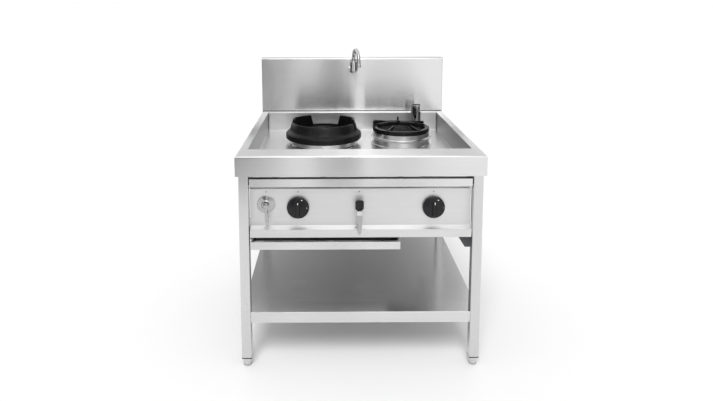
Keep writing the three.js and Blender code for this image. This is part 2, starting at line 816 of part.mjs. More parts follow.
function addGasPipes() {
  const start = leftKnobX - gasBody / 2;
  const end = rightKnobX + gasBody / 2 + manifoldEndMargin;
  let rail = swung(post(manifoldRadius, start, end, 24), 'y', 90);

  // Welded stubs join the manifold to the three gas valves.
  const stubs = [
    [leftKnobX, knobZ],
    [leverX, leverZ],
    [rightKnobX, knobZ],
  ];
  for (const [x, z] of stubs) {
    rail = rail.add(shifted(post(pipeRadius - 2, 0, z - gasBody / 2 - seam - manifoldZ, 16), x, 0, 0));
  }
  add('gas_manifold', rail, pipeSteel, [0, manifoldY, manifoldZ]);

  const inletY = basinBack - inletBackInset;
  const inletX = end + inletRun;
  const inlet = pipe(
    [
      [end + seam, manifoldY, manifoldZ],
      [inletX, manifoldY, manifoldZ],
      [inletX, inletY, manifoldZ],
      [inletX, inletY, manifoldZ - inletDrop],
    ],
    manifoldRadius,
  );
  add('gas_inlet_pipe', inlet, pipeSteel);
}

// ---------------------------------------------------------------- burners

// A collar stands on the basin floor, a well hangs through it and the burner head stands in the well.
function addBurner(name, x, collarRadius, collarHeight, dripLip, valveX) {
  const group = new THREE.Group();
  group.position.set(x, burnerY, basinFloor + seam);
  range.add(group);

  const inner = collarRadius - collarWall;
  const lip = dripLip
    ? [
        [collarRadius, potDripLipHeight - 6],
        [collarRadius + potDripLip, potDripLipHeight],
        [collarRadius + potDripLip, potDripLipHeight + 2],
        [collarRadius, potDripLipHeight + 4],
      ]
    : [];
  const collar = turned(
    [
      [inner, 0],
      [collarRadius + collarFoot, 0],
      [collarRadius + collarFoot, sheet],
      [collarRadius, sheet],
      ...lip,
      [collarRadius, collarHeight],
      [inner, collarHeight],
    ],
    36,
  );
  addTo(group, `${name}_burner_collar`, collar, polished);

  const wellRadius = inner - wellGap;
  const wellTop = -sheet - 2 * seam;
  const wellBottom = -wellDepth;
  const well = turned(
    [
      [wellMouth, wellBottom],
      [wellRadius, wellBottom],
      [wellRadius, wellTop - wellWall],
      [collarRadius, wellTop - wellWall],
      [collarRadius, wellTop],
      [wellRadius - wellWall, wellTop],
      [wellRadius - wellWall, wellBottom + wellWall],
      [wellMouth, wellBottom + wellWall],
    ],
    28,
  );
  addTo(group, `${name}_burner_well`, well, burnerIron);

  // The head seats on the well's floor with a flange and carries a ring of jets around one in the middle.
  const flangeZ = wellBottom + wellWall + seam;
  let head = turned(
    [
      [0, flangeZ - headSpigot],
      [headRadius, flangeZ - headSpigot],
      [headRadius, flangeZ],
      [wellMouth + wellSeatWidth, flangeZ],
      [wellMouth + wellSeatWidth, flangeZ + headFlange],
      [headRadius, flangeZ + 2 * headFlange],
      [headRadius, flangeZ + headHeight],
      [0, flangeZ + headHeight],
    ],
    24,
  );
  const jetTop = flangeZ + headHeight + nozzleHeight;
  head = head.add(post(nozzleRadius, flangeZ, jetTop, 6));
  for (let i = 0; i < jetCount; i += 1) {
    const angle = (2 * Math.PI * i) / jetCount;
    const reach = headRadius - 2.2 * nozzleRadius;
    const jet = post(nozzleRadius, flangeZ, jetTop, 6);
    head = head.add(shifted(jet, reach * Math.cos(angle), reach * Math.sin(angle), 0));
  }
  addTo(group, `${name}_burner_head`, head, burnerIron);

  const pilotX = wellRadius - wellWall - 3 * pilotRadius;
  const pilot = post(pilotRadius, flangeZ, wellTop - pilotBelowRim, 12);
  addTo(group, `${name}_pilot`, shifted(pilot, -pilotX, 0, 0), brass);

  // The feed drops from the head, runs forward under the basin and rises to the back of its valve.
  const headUnder = flangeZ - headSpigot - seam;
  const feedZ = headUnder - feedDrop;
  const valveBack = panelBack + seam + gasBodyDepth + seam - burnerY;
  const valveZ = knobZ - basinFloor - seam;
  const feed = pipe(
    [
      [0, 0, headUnder],
      [0, 0, feedZ],
      [valveX - x, valveBack + feedRise, feedZ],
      [valveX - x, valveBack + feedRise, valveZ],
      [valveX - x, valveBack, valveZ],
    ],
    pipeRadius,
  );
  addTo(group, `${name}_feed_pipe`, feed, pipeSteel);
}

function addWokRing() {
  const h = wokRingHeight;
  const seat = wokCollarRadius - collarWall - 6;
  const ring = turned(
    [
      [seat, 0],
      [wokFlangeRadius - 5, 0],
      [wokFlangeRadius, 7],
      [wokFlangeRadius, 22],
      [wokFlangeRadius - 2, 28],
      [wokFlangeRadius - 8, 34],
      [wokFlangeRadius - 15, 39],
      [wokFlangeRadius - 20, 45],
      [wokRimRadius + 5, h - 14],
      [wokRimRadius + 1.5, h - 5],
      [wokRimRadius, h - 1],
      [wokRimRadius - wokWall / 2, h],
      [wokRimRadius - wokWall, h - 2],
      [wokRimRadius - wokWall, h - 8],
      [seat + 8, 24],
      [seat, 10],
    ],
    48,
  );
  const reach = wokFlangeRadius + 10;
  const top = h + wokWingRise;
  const above = top + wokWingRise;

  // The wing carries the cone on upwards behind a nearly straight line, and slopes down to the rear.
  const outside = wokRimRadius - wokWingLean;
  let wing = turned(
    [
      [wokRimRadius - wokWall, h - 8],
      [wokRimRadius + 1, h - 5],
      [outside, top - 1],
      [outside - wokWall / 2, top],
      [outside - wokWall + 1, top - 2],
    ],
    48,
  );
  const front = block(-reach, reach, -reach, wokWingFront, h - 10, above);
  const over = swung(block(-reach, reach, -reach, reach, 0, 4 * wokWingRise), 'x', wokWingSlope);
  wing = wing.subtract(swung(front, 'z', wokWingTurn)).subtract(shifted(over, 0, 0, top));

  const gapBottom = h - wokGapDepth;
  const gapLine = [
    [-wokGapLeft - wokGapTaper, above],
    [-wokGapLeft + wokGapTaper, gapBottom],
    [wokGapRight - wokGapTaper, gapBottom],
    [wokGapRight + wokGapTaper, above],
  ];
  const gap = alongY(gapLine, wokGapReach, reach);
  const half = wokNotchWidth / 2;
  const slot = block(wokRimRadius - 30, reach, -half, half, h - wokNotchDepth, above);
  const notched = ring.add(wing).subtract(gap).subtract(swung(slot, 'z', wokNotchAngle));
  add('wok_ring', notched, castIron, [wokX, burnerY, basinFloor + wokCollarHeight + 2 * seam]);
}

function addPotRing() {
  const outer = potRingRadius;
  const inner = outer - potRingWidth;
  const h = potRingHeight;
  let ring = turned(
    [
      [inner, 0],
      [outer - 3, 0],
      [outer, 3],
      [outer, h - 3],
      [outer - 3, h],
      [inner + 4, h],
      [inner, h - 6],
    ],
    40,
  );

  // A guard stands on the rear half of the ring: tall at its left end, low in the middle.
  ring = ring.add(curvedWall(outer - 1, potGuardThickness, potGuardBase, potGuardHeights, potGuardStep));

  for (let i = 0; i < potArmCount; i += 1) {
    const tip = outer - potArmReach;
    const arm = alongY(
      [
        [outer - 4, 4],
        [outer - 4, h + 2],
        [tip + 26, potArmHeight - 5],
        [tip + 8, potArmHeight],
        [tip, potArmHeight],
        [tip, potArmHeight - 9],
        [inner, 4],
      ],
      -potArmWidth / 2,
      potArmWidth / 2,
    );
    ring = ring.add(swung(arm, 'z', 90 + (360 / potArmCount) * i));
  }
  const lugFoot = outer - potGuardThickness - 1;
  const lug = block(lugFoot - potLugDepth, lugFoot + 1, -potArmWidth / 2, potArmWidth / 2, 4, potLugHeight);
  ring = ring.add(swung(lug, 'z', 90));
  add('pot_ring', ring, castIron, [potX, burnerY, basinFloor + potCollarHeight + 2 * seam]);
}

// ---------------------------------------------------------------- drain and tap

function addDrain() {
  const flange = turned(
    [
      [drainTailRadius - standpipeWall, -drainTailLength],
      [drainTailRadius, -drainTailLength],
      [drainTailRadius, seam],
      [drainFlangeRadius, seam],
      [drainFlangeRadius, sheet + seam],
      [drainTailRadius - standpipeWall, sheet + seam],
    ],
    20,
  );
  add('drain_outlet', flange, polished, [drainX, drainY, basinFloor]);

  const spigot = drainTailRadius - standpipeWall - seam;
  const bottom = sheet + 2 * seam;
  const height = standpipeTop - basinFloor;
  const standpipe = turned(
    [
      [spigot - standpipeWall, bottom - standpipeSpigot],
      [spigot, bottom - standpipeSpigot],
      [spigot, bottom],
      [standpipeRadius, bottom],
      [standpipeRadius, height - 6],
      [standpipeRadius + 1.5, height - 5],
      [standpipeRadius + 1.5, height],
      [standpipeRadius - standpipeWall, height],
      [standpipeRadius - standpipeWall, bottom + 8],
      [spigot - standpipeWall, bottom + 3],
    ],
    24,
  );
  add('standpipe', standpipe, chrome, [drainX, drainY, basinFloor]);
}

function addTap() {
  const bodyBottom = -tapBodyRadius * 0.55;
  const bodyTop = bodyBottom + tapBodyHeight;
  const splashFace = splashY + seam;

  const flangeBack = splashFace - seam;
  const flange = rod(tapFlangeRadius, flangeBack - tapFlangeDepth, flangeBack, 32);
  const shank = rod(tapTubeRadius + seam, flangeBack - tapFlangeDepth - 1, flangeBack + 1, 24);
  add('tap_flange', flange.subtract(shank), chrome, [tapX, 0, tapZ]);

  const barrel = shifted(post(tapBodyRadius, bodyBottom, bodyTop, 32), 0, tapY, 0);
  const arm = rod(tapTubeRadius, tapY, splashFace + sheet + tapTail / 2, 24);
  const well = shifted(post(tapTubeRadius + seam, bodyTop - spoutSocket, bodyTop + 1, 24), 0, tapY, 0);
  const sideBore = swung(post(tapLeverRadius / 2 + seam, -tapBodyRadius - 1, -4, 16), 'y', 90);
  const body = barrel.add(arm).subtract(well).subtract(shifted(sideBore, 0, tapY, tapLeverRise));
  add('tap_body', body, chrome, [tapX, 0, tapZ]);

  // The spout's own frame starts at the foot of the riser; it swings a little to the cook's right.
  const riserFoot = tapZ + bodyTop - spoutSocket + seam;
  const crown = tapZ + spoutRise - tapTubeRadius - riserFoot;
  const mouth = tapZ + mouthRise - riserFoot;
  const radius = tapReach / 2;
  const path = new THREE.CurvePath();
  path.add(new THREE.LineCurve3(new THREE.Vector3(0, 0, 0), new THREE.Vector3(0, 0, crown - radius)));
  const arcSteps = 4;
  for (let i = 0; i < arcSteps; i += 1) {
    const a0 = (Math.PI * i) / arcSteps;
    const a1 = (Math.PI * (i + 1)) / arcSteps;
    const mid = (a0 + a1) / 2;
    const pull = radius / Math.cos((a1 - a0) / 2);
    const on = (a, r) => new THREE.Vector3(0, -radius + r * Math.cos(a), crown - radius + r * Math.sin(a));
    path.add(new THREE.QuadraticBezierCurve3(on(a0, radius), on(mid, pull), on(a1, radius)));
  }
  const dropTop = new THREE.Vector3(0, -tapReach, crown - radius);
  path.add(new THREE.LineCurve3(dropTop, new THREE.Vector3(0, -tapReach, mouth)));
  const section = new THREE.Shape();
  section.absarc(0, 0, tapTubeRadius, 0, 2 * Math.PI, false);
  const options = { steps: 24, curveSegments: 6, bevelEnabled: false, extrudePath: path };
  const tube = toSolid(new THREE.ExtrudeGeometry(section, options));
  const nozzleTop = mouth + spoutNozzleLength;
  const nozzle = shifted(post(tapTubeRadius + spoutNozzleWall, mouth - 1, nozzleTop, 24), 0, -tapReach, 0);
  const swing = swung(tube.add(nozzle), 'z', tapSwing);
  add('tap_spout', swing, chrome, [tapX, tapY, riserFoot]);

  const stubStart = -tapBodyRadius - seam;
  const stub = swung(post(tapLeverRadius, stubStart - tapLeverStub, stubStart, 20), 'y', 90);
  const pin = swung(post(tapLeverRadius / 2, stubStart - 1, -6, 16), 'y', 90);
  const leaning = swung(post(tapHandleRadius, 0, tapHandleLength, 12), 'x', tapHandleLean);
  const handle = shifted(leaning, stubStart - tapLeverStub / 2, 0, 0);
  add('tap_lever', stub.add(pin).add(handle), chrome, [tapX, tapY, tapZ + tapLeverRise]);

  // The water valve feeds the tap through a pipe that runs back under the basin and up the splash-back.
  const tailY = splashFace + sheet + tapTail / 2 - tapTubeRadius;
  const crossing = tapZ - supplyDrop;
  const supply = pipe(
    [
      [waterValveX, panelBack + 2 * seam + gasBodyDepth, waterValveZ],
      [waterValveX, tailY, waterValveZ],
      [waterValveX, tailY, crossing],
      [tapX, tailY, crossing],
      [tapX, tailY, tapZ - tapTubeRadius - seam],
    ],
    tapTubeRadius - 2,
  );
  add('tap_supply_pipe', supply, pipeSteel);
}

// ---------------------------------------------------------------- drip tray

function addDripTray() {
  const back = faceY + trayLength;
  const floorZ = trayTop - trayWallHeight;
  const left = trayLeft;
  const right = trayRight;
  const wallLeft = left + trayFlange;
  const wallRight = right - trayFlange;
  const shell = block(wallLeft, wallRight, faceY, back, floorZ, trayTop);
  const inside = block(
    wallLeft + trayWall,
    wallRight - trayWall,
    faceY + trayWall,
    back - trayWall,
    floorZ + trayWall,
    trayTop + 1,
  );
  const face = block(left, right, faceY, faceY + trayWall, trayFrontBottom, trayTop);
  const grip = block(left, right, faceY, faceY + trayHandle, trayTop - trayWall, trayTop);
  const flanges = [
    block(left, wallLeft + trayWall, faceY, back, trayTop - trayWall, trayTop),
    block(wallRight - trayWall, right, faceY, back, trayTop - trayWall, trayTop),
  ];
  const tray = shell.subtract(inside).add(face).add(grip).add(flanges[0]).add(flanges[1]);
  add('drip_tray', tray, stainless);

  // Each runner is an angle under a tray flange. It is fixed to the back of the panel, and a strap
  // hangs it from the basin floor; the left one also lies against its leg.
  const ledgeTopZ = trayTop - trayWall - seam;
  const leftWeb = -innerHalf + seam;
  const rightWeb = trayRight + runnerGap;
  for (const [name, web, reach, fixing] of [
    ['left', leftWeb, [leftWeb, trayLeft + runnerGrip], 3 * shadowGap],
    ['right', rightWeb, [trayRight - runnerGrip, rightWeb + sheet], sheet],
  ]) {
    const tabBack = manifoldY - manifoldRadius - 3;
    const ledge = block(...reach, runnerFront, back, ledgeTopZ - sheet, ledgeTopZ);
    const wall = block(web, web + sheet, runnerFront, back, ledgeTopZ - sheet, ledgeTop);
    const tab = block(web, web + fixing, panelBack + seam, tabBack, lipTop, ledgeTop + runnerTab);
    const strap = block(web, web + sheet, strapY, strapY + runnerTab, ledgeTop - 1, basinUnder - seam);
    add(`${name}_tray_runner`, ledge.add(wall).add(tab).add(strap), stainless);
  }
}

// The dark gusset that stiffens the right front leg under the panel.
function addGusset() {
  const x = innerHalf - seam;
  const top = lipBottom + 4;
  const outline = [
    [x, top],
    [x - gussetReach, top],
    [x - gussetReach * 0.37, top - gussetHeight],
    [x, top - gussetHeight],
  ];
  const gussetY = faceY + panelFlange + 2;
  add('leg_gusset', alongY(outline, gussetY, gussetY + gussetThickness), darkSteel);
}

addTop();
addSplashBack();
addFrame();
addShelf();
addControlPanel();
addWaterValve();
addGasTap('left', leftKnobX);
addGasTap('right', rightKnobX);
addLeverValve();
addGasPipes();
addBurner('wok', wokX, wokCollarRadius, wokCollarHeight, false, leftKnobX);
addBurner('pot', potX, potCollarRadius, potCollarHeight, true, rightKnobX);
addWokRing();
addPotRing();
addDrain();
addTap();
addDripTray();
addGusset();

export default range;
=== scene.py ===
"""A free-standing gas wok range in stainless steel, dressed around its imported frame.

Metres. +X is the cook's right, +Y points to the wall behind, +Z up; the floor is at Z = 0.
"""

import json
import math

import bmesh
import bpy
from mathutils import Matrix, Vector


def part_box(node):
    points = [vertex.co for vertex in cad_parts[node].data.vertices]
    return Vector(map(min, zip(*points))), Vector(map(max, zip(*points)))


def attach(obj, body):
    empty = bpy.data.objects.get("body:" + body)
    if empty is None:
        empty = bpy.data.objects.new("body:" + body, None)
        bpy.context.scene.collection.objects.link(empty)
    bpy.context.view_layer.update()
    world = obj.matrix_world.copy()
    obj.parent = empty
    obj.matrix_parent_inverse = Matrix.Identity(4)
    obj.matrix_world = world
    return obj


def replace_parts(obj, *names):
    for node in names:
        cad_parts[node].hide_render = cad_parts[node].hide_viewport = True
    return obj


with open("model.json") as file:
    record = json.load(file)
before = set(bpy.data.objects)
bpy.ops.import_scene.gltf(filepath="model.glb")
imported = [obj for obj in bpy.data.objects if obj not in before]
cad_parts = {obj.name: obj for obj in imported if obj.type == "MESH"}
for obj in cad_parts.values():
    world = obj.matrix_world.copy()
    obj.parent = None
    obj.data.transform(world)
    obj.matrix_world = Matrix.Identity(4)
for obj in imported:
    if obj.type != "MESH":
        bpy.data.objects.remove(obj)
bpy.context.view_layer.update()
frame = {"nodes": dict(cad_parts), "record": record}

MM = 0.001
UP = Vector((0, 0, 1))
BACK = Vector((0, 1, 0))
FACING_COOK = (math.pi / 2, 0, 0)  # turns a body made about Z so that its top faces the cook

# ---------------------------------------------------------------- sizes shared by several pieces

SEAM = 0.3 * MM  # clearance between separate pieces that touch
SHEET = 2 * MM  # folded stainless sheet
SHEET_EDGE = 0.4 * MM  # rounding on the cut edges of sheet
FOLD = 2.5 * MM  # outer radius of a fold
RIM_BEND = 10 * MM
BASIN_CORNER = 8 * MM
BASIN_FILLET = 2.5 * MM
SHADOW_GAP = 4 * MM  # open joint between the legs and the ends of the front rail and the panel
TUBE_WALL = 2 * MM
TUBE_CORNER = 4 * MM
BEND_STEP = math.radians(9)  # turn between two rings of points round the bend of a pipe
HOLE_REACH = 10 * MM  # how far a cutter runs on past what it cuts
ALIGNED = 0.9  # a face or an edge counts as lying along an axis above this cosine
SIDES = ("left", "right")
CORNERS = ("front_left", "front_right", "rear_left", "rear_right")

# ---------------------------------------------------------------- the camera

CAMERA_PLACE = (-0.1194, -2.7019, 1.4912)
CAMERA_PITCH = 0.124  # radians below the horizon
CAMERA_YAW = -0.003
CAMERA_ROLL = -0.003
PHOTO_WIDTH = 713  # pixels
PHOTO_HEIGHT = 401
FOCAL_PIXELS = 573.6
AXIS_PIXEL = (332.3, 75.9)  # where the lens axis meets the picture
SENSOR = 36  # millimetres


def add_camera():
    lens = bpy.data.cameras.new("camera")
    lens.sensor_width = SENSOR
    lens.lens = FOCAL_PIXELS / PHOTO_WIDTH * SENSOR
    lens.shift_x = (PHOTO_WIDTH / 2 - AXIS_PIXEL[0]) / PHOTO_WIDTH
    lens.shift_y = (AXIS_PIXEL[1] - PHOTO_HEIGHT / 2) / PHOTO_WIDTH
    camera = bpy.data.objects.new("camera", lens)
    camera.location = CAMERA_PLACE
    turn = Matrix.Rotation(CAMERA_YAW, 4, "Z") @ Matrix.Rotation(math.pi / 2 - CAMERA_PITCH, 4, "X")
    camera.rotation_euler = (turn @ Matrix.Rotation(CAMERA_ROLL, 4, "Z")).to_euler()
    bpy.context.scene.collection.objects.link(camera)
    bpy.context.scene.camera = camera


# ---------------------------------------------------------------- finishes


class Value:
    """A number that nodes make. An expression on it adds the Math nodes."""

    def __init__(self, finish, socket):
        self.finish = finish
        self.socket = socket

    def maths(self, operation, first, second):
        return self.finish.node("ShaderNodeMath", {"operation": operation}, {0: first, 1: second})

    def __add__(self, other):
        return self.maths("ADD", self, other)

    def __radd__(self, other):
        return self.maths("ADD", other, self)

    def __sub__(self, other):
        return self.maths("SUBTRACT", self, other)

    def __rsub__(self, other):
        return self.maths("SUBTRACT", other, self)

    def __mul__(self, other):
        return self.maths("MULTIPLY", self, other)

    def __rmul__(self, other):
        return self.maths("MULTIPLY", other, self)

    def __pow__(self, other):
        return self.maths("POWER", self, other)


class Nodes:
    """Adds nodes to the node tree of a material or a world."""

    def __init__(self, tree):
        self.tree = tree

    def join(self, value, socket):
        if isinstance(value, Value):
            self.tree.links.new(value.socket, socket)
        else:
            socket.default_value = value

    def node(self, kind, settings, inputs, output=0):
        made = self.tree.nodes.new(kind)
        for key, value in settings.items():
            setattr(made, key, value)
        for key, value in inputs.items():
            self.join(value, made.inputs[key])
        return Value(self, made.outputs[output])

    def clear_of(self, value, low, high, least=0.0, most=1.0):
        """Maps low to least and high to most, and holds the value between them."""
        inputs = {"Value": value, "From Min": low, "From Max": high, "To Min": least, "To Max": most}
        return self.node("ShaderNodeMapRange", {}, inputs)

    def ramp(self, value, stops):
        """Runs a value from 0 to 1 through (place, level) stops."""
        made = self.node("ShaderNodeValToRGB", {}, {"Fac": value})
        elements = made.socket.node.color_ramp.elements
        while len(elements) < len(stops):
            elements.new(0.5)
        for element, (place, level) in zip(elements, stops):
            element.position = place
            element.color = (level, level, level, 1)
        return made


class Finish(Nodes):
    """A material built around one Principled shader. Its constants are set on the shader itself."""

    def __init__(self, name, **shader):
        self.material = bpy.data.materials.new(name)
        self.material.use_nodes = True
        super().__init__(self.material.node_tree)
        self.shader = self.tree.nodes["Principled BSDF"]
        for key, value in shader.items():
            self.shader.inputs[key.replace("_", " ")].default_value = value

    def place(self):
        return self.node("ShaderNodeTexCoord", {}, {}, "Object")

    def noise(self, scale, detail=2.0, stretch=(1, 1, 1)):
        """Noise from 0 to 1 on the object's own coordinates; scale is in cycles a metre."""
        spread = self.node("ShaderNodeMapping", {}, {"Vector": self.place(), "Scale": stretch})
        return self.node("ShaderNodeTexNoise", {}, {"Vector": spread, "Scale": scale, "Detail": detail})

    def colours(self, factor, first, second):
        inputs = {0: factor, 6: (*first, 1), 7: (*second, 1)}
        return self.node("ShaderNodeMix", {"data_type": "RGBA"}, inputs, 2)

    def feed(self, key, value):
        self.join(value, self.shader.inputs[key])

    def bump(self, height, depth):
        inputs = {"Height": height, "Distance": depth, "Strength": 1.0}
        self.feed("Normal", self.node("ShaderNodeBump", {}, inputs))


def grey(level):
    return (level, level, level)


def brushed(name, grain, tone, rough, stretch_of_shine=0.0, turn_of_shine=0.0, depth=0.008 * MM):
    """Stainless sheet: brush lines along one axis, cloudy gloss and faint smears."""
    shine = {"Anisotropic": stretch_of_shine, "Anisotropic_Rotation": turn_of_shine}
    finish = Finish(name, Metallic=1.0, **shine)
    stretch = [1.0, 1.0, 1.0]
    stretch[grain] = 0.012
    fine = finish.noise(900, 2, stretch)
    broad = finish.noise(160, 3, stretch)
    cloud = finish.noise(2.3, 3)
    smear = finish.clear_of(finish.noise(7, 5), 0.56, 0.72)
    streak = 0.6 * fine + 0.4 * broad
    finish.feed("Base Color", finish.colours(0.7 * streak + 0.3 * cloud, grey(tone * 0.86), grey(tone * 1.1)))
    finish.feed("Roughness", rough + 0.06 * (streak - 0.5) + 0.04 * (cloud - 0.5) + 0.03 * smear)
    finish.bump(fine + 0.5 * broad, depth)
    return finish.material


def rolled(name, tone, rough):
    """Bright rolled sheet that has been wiped: near a mirror, with faint swirls and water marks."""
    finish = Finish(name, Metallic=1.0)
    cloud = finish.noise(5, 4)
    wipe = finish.noise(60, 3, (0.25, 1, 1))
    marks = finish.clear_of(finish.noise(28, 4), 0.6, 0.75)
    finish.feed("Base Color", finish.colours(0.6 * cloud + 0.4 * wipe, grey(tone * 0.9), grey(tone * 1.08)))
    finish.feed("Roughness", rough + 0.06 * (cloud - 0.5) + 0.03 * wipe + 0.06 * marks)
    finish.bump(0.7 * wipe + 0.3 * cloud, 0.03 * MM)
    return finish.material


def plated(name, tone, rough=0.05):
    """Chrome plating with a breath of uneven gloss."""
    finish = Finish(name, Metallic=1.0)
    cloud = finish.noise(40, 3)
    specks = finish.clear_of(finish.noise(420, 2), 0.62, 0.75)
    finish.feed("Base Color", finish.colours(cloud, grey(tone * 0.94), grey(tone * 1.05)))
    finish.feed("Roughness", rough + 0.05 * cloud + 0.12 * specks)
    finish.bump(cloud, 0.02 * MM)
    return finish.material


def cast(name, dark, light, rough, shine, grain=0.12 * MM):
    """Sand-cast iron: pitted skin, uneven soot and slightly worn high spots."""
    finish = Finish(name, Metallic=0.0, Specular_IOR_Level=shine)
    pits = finish.noise(520, 3)
    lumps = finish.noise(70, 3)
    soot = finish.noise(11, 4)
    worn = finish.clear_of(0.5 * lumps + 0.5 * soot, 0.42, 0.68)
    finish.feed("Base Color", finish.colours(worn, dark, light))
    finish.feed("Roughness", rough + 0.12 * (pits - 0.5) + 0.1 * (soot - 0.5))
    finish.bump(0.6 * pits + 0.4 * lumps, grain)
    return finish.material


def moulded(name, tone, rough):
    """Black moulded plastic with a faint grain and handling marks."""
    finish = Finish(name, Metallic=0.0, Specular_IOR_Level=0.3)
    grain = finish.noise(1400, 2)
    rubbed = finish.clear_of(finish.noise(45, 4), 0.45, 0.75)
    finish.feed("Base Color", finish.colours(rubbed, tone, tuple(1.5 * c for c in tone)))
    finish.feed("Roughness", rough + 0.1 * rubbed + 0.04 * grain)
    finish.bump(grain, 0.01 * MM)
    return finish.material


def machined(name, dark, light, rough, metal=1.0):
    """Turned or cast fitting metal, a little tarnished."""
    finish = Finish(name, Metallic=metal)
    tarnish = finish.noise(26, 4)
    grain = finish.noise(700, 2)
    finish.feed("Base Color", finish.colours(tarnish, dark, light))
    finish.feed("Roughness", rough + 0.16 * (tarnish - 0.5) + 0.05 * grain)
    finish.bump(grain, 0.03 * MM)
    return finish.material


ALONG_X, ALONG_Y, ALONG_Z = 0, 1, 2
ACROSS_THE_GRAIN = 0.25  # a quarter turn, for sheet brushed from side to side
steel_front = brushed("brushed_steel_front", ALONG_X, 0.70, 0.19, 1.0, ACROSS_THE_GRAIN)
steel_panel = brushed("brushed_steel_panel", ALONG_X, 0.72, 0.48, 0.2, ACROSS_THE_GRAIN)
# The ledge is the panel's own sheet at a lighter tone: painted light on its upward slope.
ledge_steel_painted_light = brushed("brushed_ledge_painted_light", ALONG_X, 0.86, 0.42)
# Faces that look up get the same brushed sheet at a lighter tone than the fronts: painted light on the tops.
top_steel_painted_light = brushed("brushed_top_painted_light", ALONG_X, 0.88, 0.30, 1.0, ACROSS_THE_GRAIN)
steel_side = brushed("brushed_steel_side", ALONG_Y, 0.70, 0.25, 1.0, ACROSS_THE_GRAIN)
steel_y = brushed("brushed_steel_lengthwise", ALONG_Y, 0.70, 0.30)
steel_z = brushed("brushed_steel_upright", ALONG_Z, 0.66, 0.26, 0.6)
steel_shelf = brushed("brushed_steel_shelf", ALONG_X, 0.70, 0.20)
basin_steel = rolled("rolled_basin_steel", 0.76, 0.33)
# The basin's side walls take its rolled sheet at half the tone of the floor: painted shade on the walls that
# look sideways.
basin_side_painted_shade = rolled("rolled_basin_side_painted_shade", 0.38, 0.30)
collar_steel = rolled("rolled_collar_steel", 0.72, 0.22)
chrome = plated("chrome", 0.64, 0.06)
# The water valve's chrome is given a low tone that stands in for the dark things it reflects: painted
# reflection.
valve_chrome_painted_dark_reflection = plated("valve_chrome_painted_dark_reflection", 0.44, 0.10)
lever_steel = brushed("ground_lever_steel", ALONG_Z, 0.46, 0.30)
pipe_steel = machined("pipe_steel", (0.30, 0.30, 0.31), (0.46, 0.46, 0.47), 0.42)
brass = machined("valve_brass", (0.50, 0.35, 0.14), (0.70, 0.52, 0.25), 0.33)
ring_iron = cast("black_ring_iron", (0.003, 0.003, 0.0035), (0.009, 0.009, 0.010), 0.36, 0.22)
burner_iron = cast("grey_burner_iron", (0.05, 0.05, 0.052), (0.12, 0.12, 0.12), 0.6, 0.5)
knob_black = moulded("knob_black", (0.006, 0.006, 0.007), 0.16)
plug_black = moulded("plug_black", (0.012, 0.012, 0.013), 0.42)
mark_white = machined("mark_white", (0.62, 0.62, 0.60), (0.80, 0.80, 0.78), 0.4, metal=0.0)
# Near-black for the inside of the standpipe and of the drip tray: painted shade in those hollows.
recess_painted_shade = machined("recess_painted_shade_finish", (0.010, 0.010, 0.010), (0.030, 0.029, 0.028), 0.6, metal=0.0)
# Dark grey for the bead of filler at the foot of the splash-back, whose darkness also paints the seam's
# shade, and for the panel's lugs in the side gaps, where it is painted shade.
filler_and_painted_gap_shade = machined("filler_and_painted_gap_shade", (0.05, 0.05, 0.05), (0.09, 0.09, 0.09), 0.5, metal=0.0)
gusset_paint = machined("gusset_paint", (0.035, 0.036, 0.04), (0.07, 0.07, 0.075), 0.5, metal=0.0)

# ---------------------------------------------------------------- modelling by hand


def alone(piece):
    bpy.ops.object.select_all(action="DESELECT")
    bpy.context.view_layer.objects.active = piece
    piece.select_set(True)


class Editing:
    """Opens a piece in edit mode with nothing selected, and closes it again."""

    def __init__(self, piece):
        self.piece = piece

    def __enter__(self):
        alone(self.piece)
        bpy.ops.object.mode_set(mode="EDIT")
        bpy.ops.mesh.select_mode(type="VERT")
        bpy.ops.mesh.select_all(action="DESELECT")
        return self

    def __exit__(self, *error):
        bpy.ops.object.mode_set(mode="OBJECT")

    def faces(self, test):
        """Selects the faces whose middle and normal pass the test."""
        bpy.ops.mesh.select_all(action="DESELECT")
        bpy.ops.mesh.select_mode(type="FACE")
        mesh = bmesh.from_edit_mesh(self.piece.data)
        for face in mesh.faces:
            face.select_set(bool(test(face.calc_center_median(), face.normal)))
        bmesh.update_edit_mesh(self.piece.data)

    def edges(self, test):
        """Selects the edges whose middle and direction pass the test."""
        bpy.ops.mesh.select_all(action="DESELECT")
        bpy.ops.mesh.select_mode(type="EDGE")
        mesh = bmesh.from_edit_mesh(self.piece.data)
        for edge in mesh.edges:
            start, end = (corner.co for corner in edge.verts)
            edge.select_set(bool(test((start + end) / 2, (end - start).normalized())))
        bmesh.update_edit_mesh(self.piece.data)

    def all(self):
        bpy.ops.mesh.select_all(action="SELECT")

    def extrude(self, way):
        bpy.ops.mesh.extrude_region_move(TRANSFORM_OT_translate={"value": tuple(way)})

    def delete_faces(self, test):
        self.faces(test)
        bpy.ops.mesh.delete(type="FACE")

    def bevel(self, test, width, segments):
        self.edges(test)
        bpy.ops.mesh.bevel(offset=width, offset_type="OFFSET", segments=segments, affect="EDGES")

    def scale(self, x=1.0, y=1.0):
        bpy.ops.transform.resize(value=(x, y, 1))

    def split(self, place, normal):
        """Adds a cut across the whole piece."""
        self.all()
        bpy.ops.mesh.bisect(plane_co=place, plane_no=normal)

    def fill(self):
        """Joins the ends of a closed line of edges and fills it with one face."""
        self.all()
        bpy.ops.mesh.remove_doubles(threshold=0.002 * MM)
        bpy.ops.mesh.edge_face_add()

    def close_up(self):
        """Merges doubled points and turns the faces outwards."""
        self.all()
        bpy.ops.mesh.remove_doubles(threshold=0.002 * MM)
        bpy.ops.mesh.normals_make_consistent(inside=False)


def looking(way):
    """A test for the faces that look one way."""
    return lambda middle, normal: normal.dot(way) > ALIGNED


